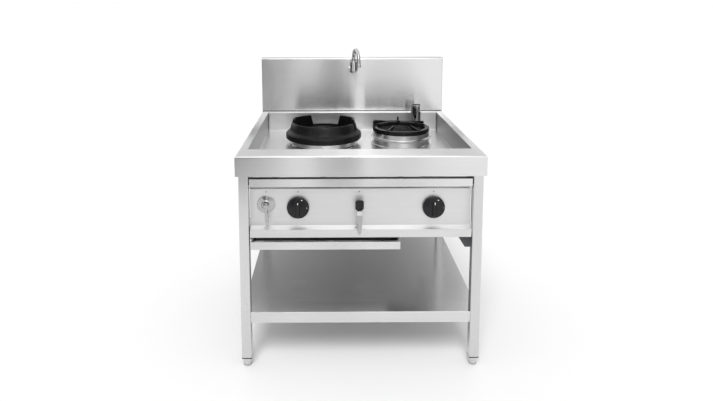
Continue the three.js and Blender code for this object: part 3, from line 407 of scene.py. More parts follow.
def running(axis):
    """A test for the edges that run along an axis."""
    return lambda middle, way: abs(way[axis]) > ALIGNED


def settled(name):
    """Names the new primitive and puts its place into its mesh."""
    piece = bpy.context.object
    piece.name = name
    piece.data.name = name
    bpy.ops.object.transform_apply(location=True, rotation=True, scale=True)
    return piece


def moved(piece, place=(0, 0, 0), turn=(0, 0, 0)):
    """Turns a piece about the origin, then shifts it, and applies both."""
    alone(piece)
    piece.rotation_euler = turn
    piece.location = place
    bpy.ops.object.transform_apply(location=True, rotation=True, scale=True)
    return piece


def box(name, low, high):
    low, high = Vector(low), Vector(high)
    bpy.ops.object.select_all(action="DESELECT")
    bpy.ops.mesh.primitive_cube_add(size=1, location=(low + high) / 2, scale=high - low)
    return settled(name)


def rod(name, start, end, radius, sides=48):
    start, end = Vector(start), Vector(end)
    along = end - start
    bpy.ops.object.select_all(action="DESELECT")
    bpy.ops.mesh.primitive_cylinder_add(
        vertices=sides,
        radius=radius,
        depth=along.length,
        location=(start + end) / 2,
        rotation=UP.rotation_difference(along).to_euler(),
    )
    return settled(name)


def strip(name, points):
    """A line of edges through the points, made by extruding one point."""
    bpy.ops.object.select_all(action="DESELECT")
    bpy.ops.mesh.primitive_plane_add(size=MM, location=points[0])
    piece = settled(name)
    with Editing(piece) as edit:
        edit.all()
        bpy.ops.mesh.merge(type="CENTER")
        for before, after in zip(points, points[1:]):
            edit.extrude(Vector(after) - Vector(before))
    return piece


def slab(name, outline, way):
    """A plate: an outline of points, filled and extruded."""
    plate = strip(name, [*outline, outline[0]])
    with Editing(plate) as edit:
        edit.fill()
        edit.extrude(way)
        edit.close_up()
    return plate


def steps_from(radius, height, *steps):
    """Profile points, each so many millimetres out and up from one corner of the profile."""
    return [(radius + out * MM, height + up * MM) for out, up in steps]


def turned(name, profile, sides=72, round_by=0.0, segments=3):
    """Spins a profile of (radius, height) points about Z; it closes on itself or starts and ends on Z."""
    points = [(radius, 0, height) for radius, height in profile]
    if profile[0][0] > 0:
        points.append(points[0])
    piece = strip(name, points)
    with Editing(piece) as edit:
        edit.all()
        bpy.ops.mesh.spin(steps=sides, angle=2 * math.pi, center=(0, 0, 0), axis=UP, dupli=False)
        edit.close_up()
    if round_by:
        rounded(piece, round_by, segments, 20)
    return piece


def bent_pipe(name, points, radius, bend, sides=28):
    """A pipe along straight runs with an even bend at each corner between them."""
    points = [Vector(point) for point in points]
    heading = (points[1] - points[0]).normalized()
    bpy.ops.object.select_all(action="DESELECT")
    bpy.ops.mesh.primitive_circle_add(
        vertices=sides,
        radius=radius,
        fill_type="NGON",
        location=points[0],
        rotation=UP.rotation_difference(heading).to_euler(),
    )
    piece = settled(name)
    here = points[0]
    with Editing(piece) as edit:
        bpy.ops.mesh.select_mode(type="FACE")
        edit.all()
        for corner, after in zip(points[1:-1], points[2:]):
            onward = (after - corner).normalized()
            turn = heading.angle(onward)
            setback = bend * math.tan(turn / 2)
            start = corner - heading * setback
            edit.extrude(start - here)
            axis = heading.cross(onward).normalized()
            steps = max(4, round(turn / BEND_STEP))
            middle = start + axis.cross(heading) * bend
            bpy.ops.mesh.spin(steps=steps, angle=-turn, center=middle, axis=axis, dupli=False)
            here = corner + onward * setback
            heading = onward
        edit.extrude(points[-1] - here)
        edit.close_up()
    return piece


def modify(piece, kind, **settings):
    alone(piece)
    change = piece.modifiers.new(kind.lower(), kind)
    for key, value in settings.items():
        setattr(change, key, value)
    bpy.ops.object.modifier_apply(modifier=change.name)
    return piece


def rounded(piece, width, segments=2, angle=35):
    """Rounds every edge that is sharper than the angle."""
    limit = math.radians(angle)
    return modify(piece, "BEVEL", width=width, segments=segments, limit_method="ANGLE", angle_limit=limit)


def thickened(piece, thickness, outwards=False):
    offset = 1 if outwards else -1
    return modify(piece, "SOLIDIFY", thickness=thickness, offset=offset, use_even_offset=True)


def combined(piece, others, operation="DIFFERENCE"):
    """Cuts the others out of a piece, or joins them to it, and removes them."""
    for other in others:
        modify(piece, "BOOLEAN", object=other, operation=operation, solver="EXACT")
        bpy.data.objects.remove(other)
    return piece


def joined(name, pieces):
    """Makes one object of several that don't touch."""
    alone(pieces[0])
    for piece in pieces[1:]:
        piece.select_set(True)
    bpy.ops.object.join()
    pieces[0].name = name
    return pieces[0]


def copied(piece, name, place=(0, 0, 0), turn=(0, 0, 0)):
    """A copy with its own mesh, turned about the origin and shifted."""
    twin = bpy.data.objects.new(name, piece.data.copy())
    bpy.context.scene.collection.objects.link(twin)
    return moved(twin, place, turn)


BODY_OF = {node: body for body, nodes in frame["record"]["behaviour"]["bodies"].items() for node in nodes}


def joins(piece, node, material, smooth=32):
    """Gives a piece its finish and makes it ride with the body of a node."""
    alone(piece)
    bpy.ops.object.shade_smooth_by_angle(angle=math.radians(smooth))
    modify(piece, "WEIGHTED_NORMAL", mode="FACE_AREA", weight=100, keep_sharp=True)
    piece.data.materials.clear()
    piece.data.materials.append(material)
    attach(piece, BODY_OF[node])
    return piece


def stands_for(piece, node, material, smooth=32):
    """The finished piece is shown in place of its node."""
    piece.name = f"{node}_finished"
    joins(piece, node, material, smooth)
    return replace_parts(piece, node)


def grained(piece, *others):
    """Gives faces another finish: each one goes to the faces that pass its test."""
    for material, test in others:
        piece.data.materials.append(material)
        for face in piece.data.polygons:
            if test(face):
                face.material_index = len(piece.data.materials) - 1


def looks_sideways(face):
    return abs(face.normal.x) > 0.7


def looks_up(face):
    return abs(face.normal.z) > 0.7


def shows_own_shape(node, material, edge=0.4 * MM, segments=2):
    """Shows a copy of a node's own shape, with its flat faces made whole and its edges rounded."""
    piece = bpy.data.objects.new(f"{node}_copy", frame["nodes"][node].data.copy())
    bpy.context.scene.collection.objects.link(piece)
    with Editing(piece) as edit:
        edit.all()
        bpy.ops.mesh.remove_doubles(threshold=0.005 * MM)
        bpy.ops.mesh.dissolve_limited(angle_limit=math.radians(0.5))
        edit.close_up()
    rounded(piece, edge, segments, 40)
    stands_for(piece, node, material)


def base_of(node):
    """The middle of the underside of a node's box."""
    low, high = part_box(node)
    return Vector(((low.x + high.x) / 2, (low.y + high.y) / 2, low.z))


# ---------------------------------------------------------------- top, basin and splash-back

DRAIN_TAIL = 21 * MM
WELL_RIM = 3 * MM  # how much of a burner well's rim lies on the basin floor


def make_top():
    low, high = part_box("cooktop_rim")
    basin_low, basin_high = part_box("cooktop_basin")
    rim = box("rim", low, high)
    with Editing(rim) as edit:
        edit.delete_faces(looking(-UP))
        edit.bevel(lambda middle, way: middle.z > high.z - MM and middle.y < high.y - MM, RIM_BEND, 8)
    thickened(rim, SHEET)
    opening = box("opening", basin_low - Vector((SEAM, SEAM, 0)), basin_high + Vector((SEAM, SEAM, RIM_BEND)))
    with Editing(opening) as edit:
        edit.bevel(running(ALONG_Z), BASIN_CORNER + SHEET, 6)
    combined(rim, [opening])
    rounded(rim, SHEET_EDGE)
    stands_for(rim, "cooktop_rim", steel_front)
    # The rim's top faces get the lighter tone: painted light.
    grained(rim, (steel_side, looks_sideways), (top_steel_painted_light, looks_up))

    inner_low = basin_low + Vector((SHEET, SHEET, SHEET))
    basin = box("basin", inner_low, basin_high - Vector((SHEET, SHEET, 0)))
    with Editing(basin) as edit:
        edit.delete_faces(looking(UP))
        edit.bevel(running(ALONG_Z), BASIN_CORNER, 6)
        edit.bevel(lambda middle, way: middle.z < inner_low.z + MM, BASIN_FILLET, 4)
    thickened(basin, SHEET, outwards=True)
    cutters = []
    for node in ("wok_burner_well", "pot_burner_well", "drain_outlet"):
        well_low, well_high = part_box(node)
        middle = (well_low + well_high) / 2
        radius = (well_high.x - well_low.x) / 2 - WELL_RIM
        if node == "drain_outlet":
            radius = DRAIN_TAIL + SEAM
        start = (middle.x, middle.y, basin_low.z - 2 * HOLE_REACH)
        end = (middle.x, middle.y, inner_low.z + 2 * HOLE_REACH)
        cutters.append(rod("hole", start, end, radius, 64))
    combined(basin, cutters)
    rounded(basin, SHEET_EDGE)
    stands_for(basin, "cooktop_basin", basin_steel)
    # The side walls get the darker tone: painted shade.
    grained(basin, (basin_side_painted_shade, looks_sideways))


SPLASH_TOP_FOLD = 10 * MM
# The bead's dark finish also paints the shade line in the seam.
JOINT_DEPTH = 2.5 * MM  # the dark bead of filler along the foot of the splash-back
JOINT_HEIGHT = 4.5 * MM
TAP_X = 6 * MM
TAP_Z = 1136 * MM
TAP_TUBE = 10 * MM


def make_splash_back():
    low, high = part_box("splash_back")
    shell = box("splash", low, high)
    with Editing(shell) as edit:
        edit.delete_faces(lambda middle, normal: normal.z < -ALIGNED or normal.y > ALIGNED)
        edit.bevel(lambda middle, way: middle.y < low.y + MM and middle.z > high.z - MM, SPLASH_TOP_FOLD, 8)

        def is_side_fold(middle, way):
            return abs(middle.x) > high.x - MM and middle.y < high.y - MM and middle.z > low.z + MM

        edit.bevel(is_side_fold, FOLD, 4)
    thickened(shell, SHEET)
    near, far = low.y - HOLE_REACH, low.y + HOLE_REACH
    combined(shell, [rod("hole", (TAP_X, near, TAP_Z), (TAP_X, far, TAP_Z), TAP_TUBE + SEAM)])
    rounded(shell, SHEET_EDGE)
    stands_for(shell, "splash_back", steel_front)
    # The splash-back's top faces get the lighter tone: painted light.
    grained(shell, (steel_side, looks_sideways), (top_steel_painted_light, looks_up))

    shows_own_shape("splash_rear_cover", steel_front)

    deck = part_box("cooktop_rim")[1].z
    bead_low = (low.x + FOLD, low.y - JOINT_DEPTH, deck)
    bead = box("splash_joint", bead_low, (high.x - FOLD, low.y + SHEET / 2, deck + JOINT_HEIGHT))
    joins(rounded(bead, MM, 3), "splash_back", filler_and_painted_gap_shade)


# ---------------------------------------------------------------- frame, legs and feet


RAIL_CORNER = 1 * MM
RAIL_END_SEAT = 6 * MM  # depth at the back of the front rail that still meets the legs


def square_tube(node, along, material, corner=TUBE_CORNER, open_ends=False):
    low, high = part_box(node)
    tube = box(node, low, high)
    with Editing(tube) as edit:
        edit.delete_faces(lambda middle, normal: abs(normal[along]) > ALIGNED)
        if corner > TUBE_WALL:
            edit.bevel(running(along), corner, 6)
    thickened(tube, TUBE_WALL)
    if open_ends:
        cut = SHADOW_GAP - SEAM
        seat_y = high.y - RAIL_END_SEAT
        left = box("cut", low - Vector((MM, MM, MM)), (low.x + cut, seat_y, high.z + MM))
        right = box("cut", (high.x - cut, low.y - MM, low.z - MM), (high.x + MM, seat_y, high.z + MM))
        combined(tube, [left, right])
    rounded(tube, min(corner, 0.9 * MM) if open_ends else SHEET_EDGE, 3)
    stands_for(tube, node, material)


FOOT_RADIUS = 16.5 * MM
FOOT_SHOULDER = 35.7 * MM
STUD_RADIUS = 5 * MM
THREAD_DEPTH = 0.7 * MM
THREAD_PITCH = 1.5 * MM
PLUG_FLANGE = 4 * MM


def make_foot(node):
    """A levelling foot: a bullet body with a groove over its pad, and a stud with a worn thread."""
    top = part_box(node)[1].z
    r = FOOT_RADIUS
    profile = [(0, 0), *steps_from(r, 0, (-3, 0), (-1, 1), (0, 3), (0, 7), (-1.6, 8), (-1.6, 9), (0, 10.5))]
    profile += steps_from(r, FOOT_SHOULDER, (0, -5), (-2, -1), (-4, 0))
    profile.append((STUD_RADIUS, FOOT_SHOULDER))
    height = FOOT_SHOULDER
    while height < top - 2 * THREAD_PITCH:
        profile.append((STUD_RADIUS - THREAD_DEPTH, height + THREAD_PITCH / 2))
        profile.append((STUD_RADIUS, height + THREAD_PITCH))
        height += THREAD_PITCH
    profile += [(STUD_RADIUS - 1 * MM, top), (0, top)]
    foot = turned(node, profile, 48)
    place = base_of(node)
    moved(foot, (place.x, place.y, 0))
    stands_for(foot, node, chrome, 40)


def make_plug(node):
    low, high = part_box(node)
    flange_top = low.z + PLUG_FLANGE
    plug = box(node, low, (high.x, high.y, flange_top))
    with Editing(plug) as edit:
        edit.bevel(running(ALONG_Z), TUBE_CORNER - MM, 4)
        edit.faces(looking(UP))
        bpy.ops.mesh.inset(thickness=TUBE_WALL + SEAM, depth=0)
        edit.extrude((0, 0, high.z - flange_top))
    middle = (low + high) / 2
    bore_start = (middle.x, middle.y, low.z - MM)
    bore_end = (middle.x, middle.y, high.z + MM)
    combined(plug, [rod("bore", bore_start, bore_end, STUD_RADIUS + SEAM)])
    rounded(plug, 0.6 * MM, 3)
    stands_for(plug, node, plug_black)


def make_frame():
    for corner in CORNERS:
        square_tube(f"{corner}_leg", ALONG_Z, steel_z)
        make_plug(f"{corner}_plug")
        make_foot(f"{corner}_foot")
    square_tube("front_top_rail", ALONG_X, steel_front, RAIL_CORNER, True)
    square_tube("rear_cross_rail", ALONG_X, steel_front)
    for side in SIDES:
        square_tube(f"{side}_side_rail", ALONG_Y, steel_side)
    shows_own_shape("leg_gusset", gusset_paint)


# ---------------------------------------------------------------- shelf

SHELF_SIDE_LIP = 25 * MM


def make_shelf():
    low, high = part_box("lower_shelf")
    shelf = box("shelf", low, high)
    with Editing(shelf) as edit:
        edit.delete_faces(looking(-UP))
        edit.bevel(lambda middle, way: middle.z > high.z - MM, FOLD, 4)
    thickened(shelf, SHEET)
    trim_low = (low.x - MM, low.y + SHEET, low.z - MM)
    cutters = [box("trim", trim_low, (high.x + MM, high.y + MM, high.z - SHELF_SIDE_LIP))]
    for corner in CORNERS:
        leg_low, leg_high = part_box(f"{corner}_leg")
        notch_low = Vector((leg_low.x - SEAM, leg_low.y - SEAM, low.z - MM))
        notch_high = Vector((leg_high.x + SEAM, leg_high.y + SEAM, high.z + MM))
        if leg_low.x < 0:
            notch_low.x = low.x - MM
        else:
            notch_high.x = high.x + MM
        if corner.startswith("front"):
            notch_low.y = low.y - MM
        cutters.append(box("notch", notch_low, notch_high))
    combined(shelf, cutters)
    rounded(shelf, SHEET_EDGE)
    stands_for(shelf, "lower_shelf", steel_front)
    grained(shelf, (steel_side, looks_sideways), (steel_shelf, looks_up))


# ---------------------------------------------------------------- control panel

PANEL_FLANGE = 30 * MM
PANEL_FOLD = 0.8 * MM
LUG_DEPTH = 10 * MM
LUG_BOTTOMS = (631 * MM, 601 * MM)  # the left one ends above the tab of the tray runner
LEDGE_TOP = 600 * MM
LEDGE_SLOPE = 8 * MM
SCREW_RECESS = (2.4 * MM, 0.5 * MM)  # half the length and half the width of each slot of the cross
PANEL_RECESS = 28 * MM  # from the front of the lip back to the face of the panel
INDEX_DOT_Z = 740 * MM
INDEX_DOT_RADIUS = 2.5 * MM
WATER_VALVE = (-382 * MM, 688.7 * MM)
LEFT_KNOB = (-253 * MM, 676.5 * MM)
RIGHT_KNOB = (296 * MM, 676.5 * MM)
LEVER = (-5 * MM, 692 * MM)
VALVE_NECK = 9 * MM


def make_panel():
    low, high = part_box("control_panel")
    panel_y = low.y + PANEL_RECESS
    flange_y = panel_y + PANEL_FLANGE
    left = low.x + SHADOW_GAP - SEAM
    right = high.x - SHADOW_GAP + SEAM
    line = [
        (left, flange_y, high.z),
        (left, panel_y, high.z),
        (left, panel_y, LEDGE_TOP),
        (left, low.y, LEDGE_TOP - LEDGE_SLOPE),
        (left, low.y, low.z),
        (left, low.y + PANEL_FLANGE, low.z),
    ]
    panel = strip("panel", line)
    with Editing(panel) as edit:
        edit.all()
        edit.extrude((right - left, 0, 0))
        edit.all()
        bpy.ops.mesh.normals_make_consistent(inside=False)
        edit.faces(lambda middle, normal: abs(middle.y - panel_y) < MM and abs(normal.y) > ALIGNED)
        mesh = bmesh.from_edit_mesh(panel.data)
        faces_back = sum(face.normal.y for face in mesh.faces if face.select) > 0
        edit.all()
        if faces_back:
            bpy.ops.mesh.flip_normals()
    thickened(panel, SHEET)
    near, far = panel_y - HOLE_REACH, panel_y + HOLE_REACH
    dot_front, dot_back = panel_y + SEAM, panel_y + SHEET
    insert_radius = INDEX_DOT_RADIUS - 0.05 * MM
    cutters = []
    dots = []
    for x, z in (WATER_VALVE, LEFT_KNOB, LEVER, RIGHT_KNOB):
        cutters.append(rod("dot", (x, near, INDEX_DOT_Z), (x, far, INDEX_DOT_Z), INDEX_DOT_RADIUS, 20))
        cutters.append(rod("hole", (x, near, z), (x, far, z), VALVE_NECK + SEAM, 32))
        dot = rod("dot", (x, dot_front, INDEX_DOT_Z), (x, dot_back, INDEX_DOT_Z), insert_radius, 20)
        dots.append(rounded(dot, 0.3 * MM))
    combined(panel, cutters)
    top = high.z - SHEET / 2
    front = panel_y + SHEET / 2
    back = flange_y - 0.2 * MM
    lug_front = flange_y - LUG_DEPTH
    left_foot, right_foot = LUG_BOTTOMS
    shy = 0.1 * MM  # keeps the plates off the planes of the sheet's own ends
    lugs = [
        box("plate", (left + shy, front, left_foot), (left + SHEET, back, top)),
        box("lug", (low.x, lug_front, left_foot + MM), (left + SHEET / 2, back - shy, top - shy)),
        box("plate", (right - SHEET, front, right_foot), (right - shy, back, top)),
        box("lug", (right - SHEET / 2, lug_front, right_foot + MM), (high.x, back - shy, top - shy)),
    ]
    combined(panel, lugs, "UNION")
    rounded(panel, PANEL_FOLD, 3)
    stands_for(panel, "control_panel", steel_panel)

    # The lug faces in the gaps beside the legs are painted dark: painted shade.
    def in_side_gap(face):
        return face.center.x < left - shy or face.center.x > right + shy

    # The ledge gets the lighter tone, which is painted light, and the lug faces in the side gaps get dark
    # grey, which is painted shade.
    grained(panel, (ledge_steel_painted_light, looks_up), (filler_and_painted_gap_shade, in_side_gap))
    inserts = joined("panel_dots", dots)
    joins(inserts, "control_panel", plug_black)
    make_ledge_screw()


def make_ledge_screw():
    """A small pan-head screw with a cross recess, square to the sloping ledge."""
    low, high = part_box("ledge_screw")
    steps = [(0, -10), (2, -9), (2, 0), (4, 0), (4, 0.9), (3.2, 1.6), (1.8, 2), (0, 2.1)]
    screw = turned("screw", steps_from(0, 0, *steps), 32)
    slots = []
    for x, y in (SCREW_RECESS, SCREW_RECESS[::-1]):
        slots.append(box("slot", (-x, -y, 1.2 * MM), (x, y, 3 * MM)))
    combined(screw, slots)
    slope = math.atan2(LEDGE_SLOPE, PANEL_RECESS)
    middle = (low + high) / 2
    moved(screw, (middle.x, middle.y - MM, high.z - 2.6 * MM), (slope, 0, 0))
    stands_for(screw, "ledge_screw", chrome)


# ---------------------------------------------------------------- valves, knobs and levers

VALVE_EDGE = 1.5 * MM
COVER_RADIUS = 37 * MM
COVER_BORE = 7.3 * MM
WATER_HUB = 12 * MM
WATER_BLADE = 74 * MM
WATER_LEVER_TILT = math.radians(-4)
KNOB_RADIUS = 45 * MM
KNOB_DEPTH = 21 * MM
GRIP_WIDTH = 20 * MM
LEVER_COLLAR = 19 * MM
LEVER_BLADE = 7 * MM
HUB_TAPER = 8 * MM  # the lever's hub is this much slimmer all round where it meets the panel


def make_water_valve():
    low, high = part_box("water_valve_cover")
    depth = high.y - low.y
    r = COVER_RADIUS
    profile = [(COVER_BORE, 0), *steps_from(r, 0, (0, 0), (0, 1.6), (-1.2, 2.6)), (r * 0.84, 4.2 * MM)]
    profile += [(r * 0.66, 6.2 * MM), (r * 0.52, 8.4 * MM), (r * 0.45, depth - 0.8 * MM)]
    profile += [(r * 0.42, depth), (COVER_BORE, depth)]
    cover = turned("cover", profile, 72, 0.8 * MM)
    moved(cover, (WATER_VALVE[0], high.y, WATER_VALVE[1]), FACING_COOK)
    stands_for(cover, "water_valve_cover", valve_chrome_painted_dark_reflection, 40)

    low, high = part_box("water_valve_lever")
    depth = high.y - low.y
    profile = [(0, 0), (WATER_HUB, 0), (WATER_HUB, depth * 0.72), (WATER_HUB * 0.8, depth * 0.95), (0, depth)]
    hub = turned("hub", profile, 48, 1.2 * MM)
    moved(hub, (0, high.y, 0), FACING_COOK)
    blade_low = (-6.5 * MM, high.y - 9 * MM, -WATER_BLADE)
    blade = box("blade", blade_low, (6.5 * MM, high.y - 1.5 * MM, 2 * MM))
    waist = -WATER_BLADE * 0.25
    with Editing(blade) as edit:
        edit.split((0, 0, waist), UP)
        edit.split((0, 0, -WATER_BLADE * 0.8), UP)
        edit.edges(lambda middle, way: abs(way.z) < 0.5 and abs(middle.z - waist) < MM)
        edit.scale(x=0.78)
        edit.edges(lambda middle, way: abs(way.z) < 0.5 and middle.z < -WATER_BLADE * 0.7)
        edit.scale(x=0.9, y=0.8)
    rounded(blade, 2.2 * MM, 4, 30)
    moved(blade, turn=(0, WATER_LEVER_TILT, 0))
    combined(hub, [blade], "UNION")
    moved(hub, (WATER_VALVE[0], 0, WATER_VALVE[1]))
    stands_for(hub, "water_valve_lever", valve_chrome_painted_dark_reflection, 40)

    shows_own_shape("water_valve_body", brass, VALVE_EDGE, 3)


# Marks moulded on the face of each knob: across and up from its middle, width, height, in millimetres.
LEFT_MARKS = [(15, 31.5, 6, 5.6), (34.5, 1, 4.4, 4.6), (21, -31, 3.2, 4.2), (0, 37, 9, 1.6)]
RIGHT_MARKS = [(16, 30.5, 6, 5.6), (36.5, 0, 4.4, 4.6), (23, -31, 4.2, 3), (0.5, 37, 7, 1.6)]
# The dome of a knob: share of its radius, and millimetres over its back.
KNOB_DOME = [(0.95, 8.2), (0.86, 9.9), (0.70, 11.4), (0.45, 12.5), (0.2, 12.9), (0, 13)]


def make_knob(side, centre, marks, pointer_x):
    node = f"{side}_knob"
    r = KNOB_RADIUS
    d = KNOB_DEPTH
    profile = [(0, 0), *steps_from(r, 0, (-0.8, 0), (0, 0.8), (0, 4.6), (-0.5, 6.4))]
    profile += [(r * share, height * MM) for share, height in KNOB_DOME]
    knob = turned("dome", profile, 96)
    grip_bottom = -r * 0.88
    grip_top = r * 0.62
    half = GRIP_WIDTH / 2
    grip = box("grip", (-half, grip_bottom, 2 * MM), (half, grip_top, d))
    with Editing(grip) as edit:
        for share in (0.25, 0.5, 0.75):
            edit.split((0, grip_bottom + (grip_top - grip_bottom) * share, 0), BACK)
        edit.edges(lambda middle, way: middle.y < grip_bottom + MM or middle.y > grip_top - MM)
        edit.scale(x=0.72)
        edit.faces(looking(UP))
        edit.scale(x=0.78, y=0.93)
    modify(grip, "SUBSURF", levels=1, render_levels=1, use_limit_surface=False)
    rounded(grip, 1.4 * MM, 3, 30)
    combined(knob, [grip], "UNION")
    combined(knob, [rod("socket", (0, 0, -MM), (0, 0, d / 2), 4.3 * MM, 32)])
    rounded(knob, 0.5 * MM, 2, 32)
    place = (centre[0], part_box(node)[1].y, centre[1])
    moved(knob, place, FACING_COOK)
    stands_for(knob, node, knob_black, 35)

    inlays = []
    for across, up, width, height in marks:
        reach = math.hypot(across, up) * MM / r
        base = d * (0.60 - 0.33 * reach**4)
        corner = Vector((width / 2, height / 2, 0)) * MM
        mark = box("mark", -corner, corner + Vector((0, 0, 1.6 * MM)))
        moved(mark, (across * MM, up * MM, base - 1.1 * MM))
        inlays.append(rounded(mark, min(width, height) * 0.3 * MM, 3))
    pointer = box("pointer", (-1.3 * MM, -5 * MM, 0), (1.3 * MM, 5 * MM, 1.5 * MM))
    moved(pointer, (pointer_x * MM, 20 * MM, d - 2.2 * MM), (math.radians(-4), 0, 0))
    inlays.append(rounded(pointer, 0.5 * MM, 2))
    joins(moved(joined(f"{side}_knob_marks", inlays), place, FACING_COOK), node, mark_white)


def make_gas_lever():
    low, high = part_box("lever_hub")
    hub = box("hub", low, high)
    size = high - low
    neck = (1 - 2 * HUB_TAPER / size.x, 1, 1 - 2 * HUB_TAPER / size.z)
    with Editing(hub) as edit:
        edit.bevel(running(ALONG_Y), 9 * MM, 6)
        edit.faces(looking(BACK))
        bpy.ops.transform.resize(value=neck, center_override=(low + high) / 2)
        edit.faces(looking(-BACK))
        bpy.ops.mesh.inset(thickness=3 * MM, depth=-1.2 * MM)
        edit.bevel(lambda middle, way: middle.y < low.y + 0.5 * MM and abs(way.y) < 0.5, 1.2 * MM, 3)
    rounded(hub, 0.6 * MM, 2, 40)
    stands_for(hub, "lever_hub", knob_black, 35)

    low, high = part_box("gas_lever")
    middle_x = (low.x + high.x) / 2
    collar_bottom = high.z - LEVER_COLLAR
    collar = box("collar", (low.x, low.y, collar_bottom), high)
    with Editing(collar) as edit:
        edit.bevel(running(ALONG_Y), 3 * MM, 4)
    rounded(collar, 1 * MM, 3)
    right = [(3.5 * MM, low.z), (7 * MM, low.z + 7 * MM), (11 * MM, collar_bottom + 3 * MM)]
    left = [(-x, z) for x, z in reversed(right)]
    outline = [(middle_x + x, low.y, z) for x, z in left + right]
    blade = rounded(slab("blade", outline, (0, LEVER_BLADE, 0)), 2 * MM, 4, 25)
    combined(collar, [blade], "UNION")
    stands_for(collar, "gas_lever", lever_steel, 35)
    # The collar takes chrome, a brighter finish than the blade, which also paints the highlight that its top
    # catches.
    grained(collar, (chrome, lambda face: face.center.z > collar_bottom))
    shows_own_shape("lever_valve_body", brass, VALVE_EDGE, 3)


def make_controls():
    make_water_valve()
    make_knob("left", LEFT_KNOB, LEFT_MARKS, 0)
    make_knob("right", RIGHT_KNOB, RIGHT_MARKS, 2)
    make_gas_lever()
    for side in SIDES:
        shows_own_shape(f"{side}_gas_valve", brass, VALVE_EDGE, 3)
        shows_own_shape(f"{side}_valve_stem", pipe_steel, 0.5 * MM)


# ---------------------------------------------------------------- burners

WOK_FLANGE = 187 * MM
WOK_RIM = 156 * MM
WOK_HEIGHT = 81 * MM
WOK_WALL = 9 * MM
WOK_SEAT = 154 * MM
WOK_GAP = (-64 * MM, 81 * MM)  # left and right edge of the rear opening, from the middle of the ring
WOK_GAP_FRONT = 60 * MM
WOK_GAP_DEPTH = 45 * MM
WOK_GAP_TAPER = 8 * MM
WING_RISE = 16 * MM  # how far the rear of the rim stands over its front
WING_LEAN = 4 * MM
WING_FRONT = -36 * MM
WING_TURN = math.radians(-3.7)
WING_SLOPE = math.radians(-5)
WOK_NOTCH = 12 * MM
WOK_NOTCH_DEPTH = 38 * MM
WOK_NOTCH_INSET = 30 * MM  # how far inside the outer rim the side notch starts
WOK_NOTCH_ANGLE = math.radians(-19)
RIVET_ANGLE = math.radians(-95)
RIVET_HEIGHT = 10 * MM


def make_wok_ring():
    h = WOK_HEIGHT
    inside = WOK_RIM - WOK_WALL
    flange = [(-5, 0), (-2.4, 1.4), (-0.7, 4), (0, 8), (0, 22), (-0.6, 25.4), (-2.4, 28.6)]
    flange += [(-8, 33.6), (-14, 38), (-18, 42), (-21, 47)]
    profile = [(WOK_SEAT, 0), *steps_from(WOK_FLANGE, 0, *flange)]
    profile += steps_from(WOK_RIM, h, (5, -14), (1.5, -5), (-0.6, -1.4), (-4, 0))
    profile += steps_from(inside, h, (1.5, -1.2), (0, -4), (0, -9))
    profile += steps_from(WOK_SEAT, 0, (1, 40), (7, 26), (5, 18), (0, 9))
    ring = turned("ring", profile, 144)
    reach = WOK_FLANGE + HOLE_REACH
    top = h + WING_RISE
    above = top + WING_RISE
    outside = WOK_RIM - WING_LEAN
    wing_profile = steps_from(inside, h, (0, -8)) + steps_from(WOK_RIM, h, (1, -5))
    wing_profile += steps_from(outside, top, (0, -1)) + [(outside - WOK_WALL / 2, top)]
    wing_profile += steps_from(outside - WOK_WALL, top, (1, -2))
    wing = turned("wing", wing_profile, 144)
    front = box("front", (-reach, -reach, h - 10 * MM), (reach, WING_FRONT, above))
    moved(front, turn=(0, 0, WING_TURN))
    over = box("over", (-reach, -reach, 0), (reach, reach, 4 * WING_RISE))
    moved(over, (0, 0, top), (WING_SLOPE, 0, 0))
    combined(wing, [front, over])
    combined(ring, [wing], "UNION")

    gap_left, gap_right = WOK_GAP[0] - WOK_GAP_TAPER, WOK_GAP[1] + WOK_GAP_TAPER
    gap = box("gap", (gap_left, WOK_GAP_FRONT, h - WOK_GAP_DEPTH), (gap_right, reach, above))
    with Editing(gap) as edit:
        edit.faces(looking(-UP))
        edit.scale(x=1 - 4 * WOK_GAP_TAPER / (gap_right - gap_left))
    slot_low = (WOK_RIM - WOK_NOTCH_INSET, -WOK_NOTCH / 2, h - WOK_NOTCH_DEPTH)
    slot = box("slot", slot_low, (reach, WOK_NOTCH / 2, above))
    moved(slot, turn=(0, 0, WOK_NOTCH_ANGLE))
    combined(ring, [gap, slot])
    rounded(ring, 1.6 * MM, 3, 38)
    base = base_of("wok_ring")
    stands_for(moved(ring, base), "wok_ring", ring_iron, 30)

    rivet = turned("wok_ring_rivet", steps_from(0, 0, (0, 0), (3.2, 0), (2.6, 1.4), (0, 2)), 24)
    outwards = Vector((math.cos(RIVET_ANGLE), math.sin(RIVET_ANGLE), 0))
    place = Vector((base.x, base.y, base.z + RIVET_HEIGHT)) + outwards * (WOK_FLANGE - 2.2 * MM)
    moved(rivet, place, (math.pi / 2, 0, RIVET_ANGLE + math.pi / 2))
    joins(rivet, "wok_ring", chrome)


POT_RING = 140 * MM
POT_RING_WIDTH = 24 * MM
POT_RING_HEIGHT = 20 * MM
POT_ARM_HEIGHT = 34 * MM
POT_ARM_REACH = 72 * MM
POT_ARM_WIDTH = 9 * MM
POT_ARMS = 5
POT_LUG_DEPTH = 9 * MM
POT_LUG_HEIGHT = 43 * MM
POT_GUARD_THICKNESS = 8 * MM
POT_GUARD_BASE = 2 * MM
POT_GUARD_STEP = 5.5  # degrees
# The guard's height over the bottom of the ring, at the angle in degrees.
POT_GUARD_HEIGHTS = [(26, 33), (50, 25), (75, 21), (117, 23), (166, 45), (176, 45)]


